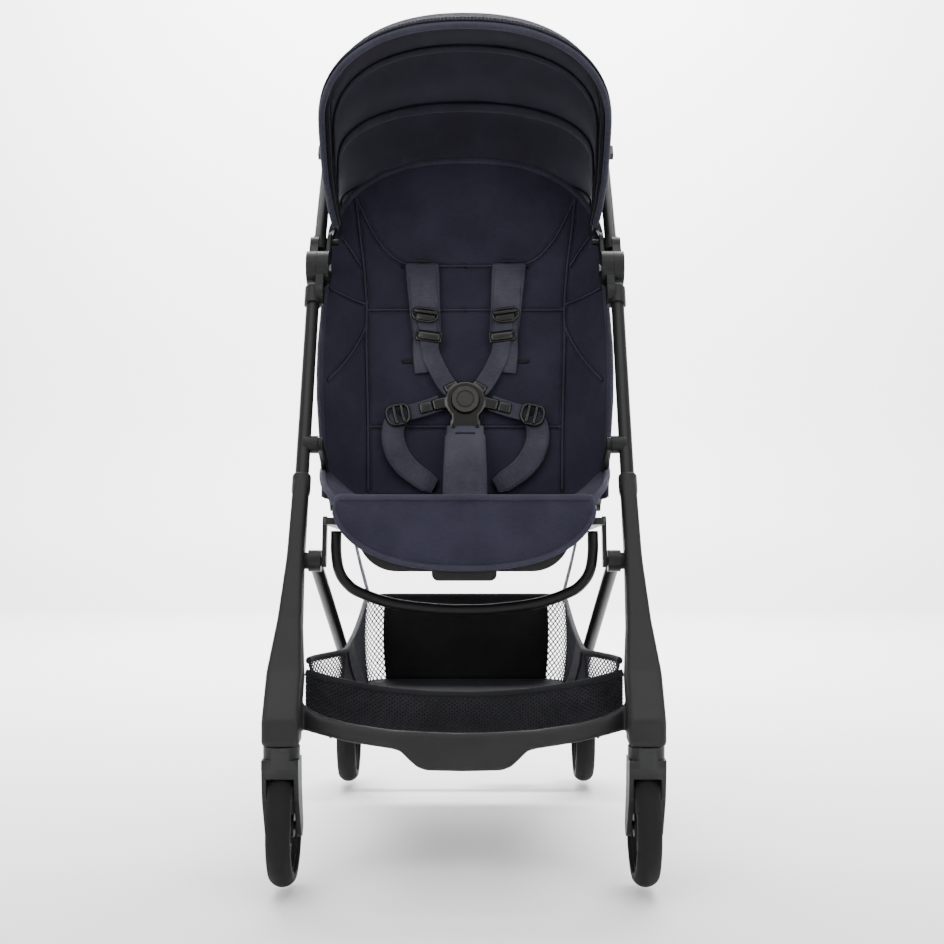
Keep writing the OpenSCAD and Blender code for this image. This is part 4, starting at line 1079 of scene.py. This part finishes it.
def net(name, shape, body, radius=1.0):
    """A net of yarns over a grid of points, laid on the diagonal."""
    rows, cols = shape.shape[:2]
    edges = []
    for i in range(rows - 1):
        for j in range(cols - 1):
            here, above = i * cols + j, (i + 1) * cols + j
            edges.append((here, above + 1) if (i + j) % 2 == 0 else (here + 1, above))
    mesh = bpy.data.meshes.new(name)
    mesh.from_pydata([tuple(p) for p in shape.reshape(-1, 3)], edges, [])
    made = bpy.data.objects.new(name, mesh)
    bpy.context.scene.collection.objects.link(made)
    grown(made, NET, FINISHES["basket_mesh"], Radius=radius * MM)
    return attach(made, body)


solid_from = (long_side + round_corner * 0.9) / whole_wall
solid_to = 1 - solid_from
side_u = np.linspace(0, solid_from, int(solid_from * whole_wall / NET_PITCH))[None, :]
side_t = np.linspace(0, 1, 29)[:, None]
for label, u in (("left", side_u), ("right", 1 - side_u)):
    mesh_side = net(f"basket_net_{label}", basket_wall(u, side_t), "chassis")
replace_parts(mesh_side, "basket_sides")

rear_u = np.linspace(solid_from, solid_to, 60)[None, :]
rear_wall = basket_wall(rear_u, np.linspace(0, 1, 16)[:, None])
rear_wall[..., 1] += (0.006 * np.sin(math.pi * (rear_u - solid_from) / (solid_to - solid_from))
                      * np.sin(math.pi * np.linspace(0, 1, 16)[:, None]))
rear_cloth = cloth("basket_rear_cloth", rear_wall, FINISHES["basket_fabric"], 1.8)
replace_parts(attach(rear_cloth, "chassis"), "basket_rear")

fx = np.linspace(-HALF, HALF, 50)[None, :]
fy = np.linspace(FRONT_Y + 0.002, REAR_Y, 70)[:, None]
sag = (-0.007 * np.cos(math.pi * fx / (2 * HALF)) ** 0.5
       * np.sin(math.pi * (fy - FRONT_Y) / (REAR_Y - FRONT_Y)) ** 0.5)
rounded = WALL_CORNER - np.sqrt(np.maximum(WALL_CORNER**2 - (fy - REAR_Y + WALL_CORNER) ** 2, 0))
inset = np.where(fy > REAR_Y - WALL_CORNER, rounded, 0)
floor_grid = np.stack([fx * (HALF - inset) / HALF * 0.98 + 0 * fy, fy + 0 * fx, FLOOR_Z + 0.002 + sag], -1)
floor_cloth = cloth("basket_floor_cloth", floor_grid, FINISHES["basket_fabric"], 2.0)
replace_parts(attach(floor_cloth, "chassis"), "basket_floor")

front_half = float(front_high.x) - 0.6 * MM
DIP = FLOOR_Z + 0.049


def lip_front(x):
    """Height of the front panel's edge: low in the middle, swept up to the castings."""
    return DIP + 9.5 * MM * (np.abs(x) / 0.1137) ** 2.1


def panel_front(x, t):
    x, t = np.broadcast_arrays(np.asarray(x, float), np.asarray(t, float))
    low = FLOOR_Z + 0.002 + 0.020 * (abs(x) / 0.162) ** 2.6
    top = np.minimum(lip_front(x), FLOOR_Z + 0.118)
    bow = 0.008 * np.sin(math.pi * np.clip(t, 0, 1)) * np.cos(math.pi * x / (2 * front_half))
    return np.stack([x, FRONT_Y + 0.001 - bow, low + t * (top - low)], -1)


front_grid = panel_front(np.linspace(-front_half, front_half, 118)[None, :], np.linspace(0, 1, 22)[:, None])
front_net = net("basket_front_net", front_grid, "chassis", 0.75)
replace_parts(front_net, "basket_front")
backing = panel_front(np.linspace(-front_half, front_half, 60)[None, :],
                      np.linspace(0, 0.93, 10)[:, None]) + np.array([0, 0.0016, 0])
front_backing = cloth("basket_front_lining", backing, FINISHES["basket_fabric"], 0.8)
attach(front_backing, "chassis")

gussets = []
GUSSET_FOOT, GUSSET_TOP, GUSSET_HALF = 0.72, 0.30, 0.09
t_up = np.linspace(0, 1, 16)[:, None]
u = solid_from * (GUSSET_FOOT + (GUSSET_TOP - GUSSET_FOOT) * t_up
                  + np.linspace(-GUSSET_HALF, GUSSET_HALF, 9)[None, :])
for along in (u, 1 - u):
    band_grid = basket_wall(along, t_up + 0 * u)
    band_grid[..., 0] *= 0.985
    gussets.append(cloth("gusset", band_grid, FINISHES["basket_fabric"], 1.2))
gussets = join("basket_side_gussets", gussets)
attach(gussets, "chassis")

edges = []
line = panel_front(np.linspace(-front_half, front_half, 90), 1.0)
edges.append(sweep("front_lip", line, np.tile([0, -1.0, 0], (90, 1)), 4.0, 3.0, FINISHES["basket_fabric"]))
for name, t, wide, thick in (("wall_lip", 1.0, 3.2, 4.0), ("floor_seam", 0.0, 2.4, 2.4)):
    wall_line = basket_wall(np.linspace(0, 1, 220), t)
    upward = np.tile([0, 0, 1.0], (220, 1))
    edges.append(sweep(name, wall_line, upward, wide, thick, FINISHES["basket_fabric"]))
for u in (solid_from, solid_to):
    seam = basket_wall(np.full(20, u), np.linspace(0, 1, 20))
    edges.append(sweep("corner_seam", seam, np.tile([0, -1.0, 0], (20, 1)), 3.6, 1.6,
                       FINISHES["basket_fabric"]))
basket_edges = join("basket_bindings", edges)
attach(basket_edges, "chassis")

strap_low, strap_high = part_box("basket_straps")
hangers = []
for side in (-1, 1):
    low_end = np.array([side * (HALF - 4 * MM), REAR_Y - 1 * MM, strap_low.z - 2 * MM])
    high_end = np.array([side * (strap_high.x - 6 * MM), strap_low.y + 4 * MM, strap_high.z - 2 * MM])
    line = curve_through([low_end, (low_end + high_end) / 2 + np.array([0, 0, -0.006]), high_end], 40)
    hangers.append(sweep("hanger", line, np.tile([1.0, 0, 0], (40, 1)), 7.5, 0.9, FINISHES["webbing"],
                         square=0.4))
hangers = join("basket_hanging_straps", hangers)
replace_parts(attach(hangers, "chassis"), "basket_straps")


# ---- Front frame moulding and seat tube ----
bar_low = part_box("front_crossbar")[0]
BAR_TOP = by_height([0, 80, 129, 158, 176, 188, 196], [179, 181, 186, 192, 200, 209, 218])
BAR_UNDER = by_height([0, 42, 52, 61, 70, 80, 129, 158, 188, 196],
                      [137, 137.5, 141, 149, 158, 160.5, 165.5, 170.5, 176, 178])


def crossbar_loft(half_length=194, count=131):
    """The beam between the front castings, deeper at its middle where the plain tab hangs."""
    x = np.linspace(-half_length, half_length, count)
    top, under = BAR_TOP(abs(x)), BAR_UNDER(abs(x))
    around = np.linspace(0, 2 * math.pi, 33)[:-1]
    up = np.sign(np.sin(around)) * abs(np.sin(around)) ** 0.6
    out = np.sign(np.cos(around)) * abs(np.cos(around)) ** 0.6
    middle_y = bar_low.y / MM + 10 + 46 * (x / 181.5) ** 2
    z = (top + under)[:, None] / 2 + (top - under)[:, None] / 2 * up
    y = middle_y[:, None] + 9.0 * out * np.clip(1.15 - 0.35 * (top - under)[:, None] / 42, 0.6, 1)
    rings = np.stack([x[:, None] + 0 * z, y, z], -1) * MM
    ends = [tuple(range(32)), tuple((count - 1) * 32 + k for k in range(31, -1, -1))]
    return outwards(piece("crossbar_loft", rings, grid_faces(count, 32, closed=True) + ends))


def merged(name, parts, body, voxel, passes, nodes):
    """One moulding made of several closed shapes: joined, remeshed and eased at its edges."""
    made = join(name, parts)
    modified(made, "REMESH", mode="VOXEL", voxel_size=voxel * MM)
    modified(made, "SMOOTH", factor=0.5, iterations=passes)
    plain(made)
    made.data.materials.clear()
    made.data.materials.append(FINISHES[SLOT_OF[nodes[0]]])
    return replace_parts(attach(made, body), *nodes)


def copy_of(source):
    shape = bmesh.new()
    shape.from_mesh(frame["nodes"][source].data)
    bmesh.ops.remove_doubles(shape, verts=shape.verts, dist=1e-5)
    mesh = bpy.data.meshes.new(source + "_copy")
    shape.to_mesh(mesh)
    shape.free()
    made = bpy.data.objects.new(source + "_copy", mesh)
    bpy.context.scene.collection.objects.link(made)
    return made


merged("front_frame_moulding", [copy_of("front_leg_left"), copy_of("front_leg_right"), crossbar_loft()],
       "chassis", 1.7, 9, ["front_leg_left", "front_leg_right", "front_crossbar"])

tube_low, tube_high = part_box("seat_front_tube")
tube_half = [(154, tube_high.z / MM - 6), (154, 368), (150, 346), (140, 331), (125, 321), (88, 308.5),
             (40, 302)]
tube_route = [(-x, z, 0) for x, z in tube_half] + [(0, 300.5, 0)] + [(x, z, 0) for x, z in tube_half[::-1]]
route = curve_through(tube_route, 120)
tube_y = float(tube_low.y + tube_high.y) / 2
front_tube = sweep("seat_support_tube",
                   np.stack([route[:, 0] * MM, np.full(120, tube_y), route[:, 1] * MM], -1),
                   np.tile([0, -1.0, 0], (120, 1)), 6.6, 6.6, FINISHES["frame_tube"])
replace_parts(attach(front_tube, "chassis"), "seat_front_tube")

screw_x = float(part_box("handle_knuckle_right")[1].x) + 0.2 * MM
for side, label in ((-1, "left"), (1, "right")):
    corners = [(side * screw_x, KNEE[1] + dy, KNEE[2] + dz)
               for dy, dz in ((-1e-4, -1e-4), (1e-4, -1e-4), (1e-4, 1e-4), (-1e-4, 1e-4))]
    screw = piece(f"hinge_screw_{label}", corners, [(0, 1, 2, 3) if side > 0 else (3, 2, 1, 0)])
    grown(screw, SCREWS, FINISHES["steel_pin"], Radius=6.5 * MM, Height=2.0 * MM)
    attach(screw, "handle")

# ---- Floor, light and camera ----
sweep_points = [(-4.0, 0.0), (1.9, 0.0), (2.4, 0.12), (2.7, 0.45), (2.8, 1.0), (2.8, 5.0)]
profile = curve_through([(y, z, 0) for y, z in sweep_points], 60)
studio = piece("studio_floor", [[(x, p[0], p[1] - 0.0002) for x in (-7, 7)] for p in profile],
               grid_faces(60, 2))
paper, paper_tree, paper_shader = finish_named("matte_white_paper")
paper_noise = add(paper_tree, "ShaderNodeTexNoise", {"Scale": 3.0})
paper_tone = add(paper_tree, "ShaderNodeMix",
                 {0: paper_noise.outputs["Fac"], 6: linear("#fafafa"), 7: linear("#fdfdfd")},
                 data_type="RGBA")
paper_tree.links.new(paper_tone.outputs[2], paper_shader.inputs["Base Color"])
paper_shader.inputs["Roughness"].default_value = 0.9
studio.data.materials.append(paper)

world = bpy.data.worlds.new("studio")
world.use_nodes = True
world.node_tree.nodes["Background"].inputs["Color"].default_value = (1, 1, 1, 1)
world.node_tree.nodes["Background"].inputs["Strength"].default_value = 0.85
bpy.context.scene.world = world


def lamp(name, place, aim, size, power):
    light = bpy.data.lights.new(name, "AREA")
    light.shape, light.size, light.size_y, light.energy = "RECTANGLE", size[0], size[1], power
    made = bpy.data.objects.new(name, light)
    bpy.context.scene.collection.objects.link(made)
    made.location = place
    made.rotation_euler = (Vector(aim) - Vector(place)).to_track_quat("-Z", "Y").to_euler()


lamp("soft_top", (0, -0.6, 2.9), (0, 0, 0.5), (2.6, 2.6), 55)
lamp("front_left", (-1.5, -2.4, 1.7), (0, 0, 0.6), (1.2, 1.6), 26)
lamp("front_right", (1.6, -2.3, 1.3), (0, 0, 0.5), (1.2, 1.6), 20)
lamp("back_wash", (0, 1.3, 2.6), (0, 2.8, 0.8), (3.0, 1.2), 300)

camera = bpy.data.cameras.new("camera")
camera.lens, camera.sensor_width = 57.5, 36
eye = bpy.data.objects.new("camera", camera)
eye.location = (0.009, -1.99475, 0.466)
eye.rotation_euler = (math.radians(90), 0, 0)
bpy.context.scene.collection.objects.link(eye)
bpy.context.scene.camera = eye
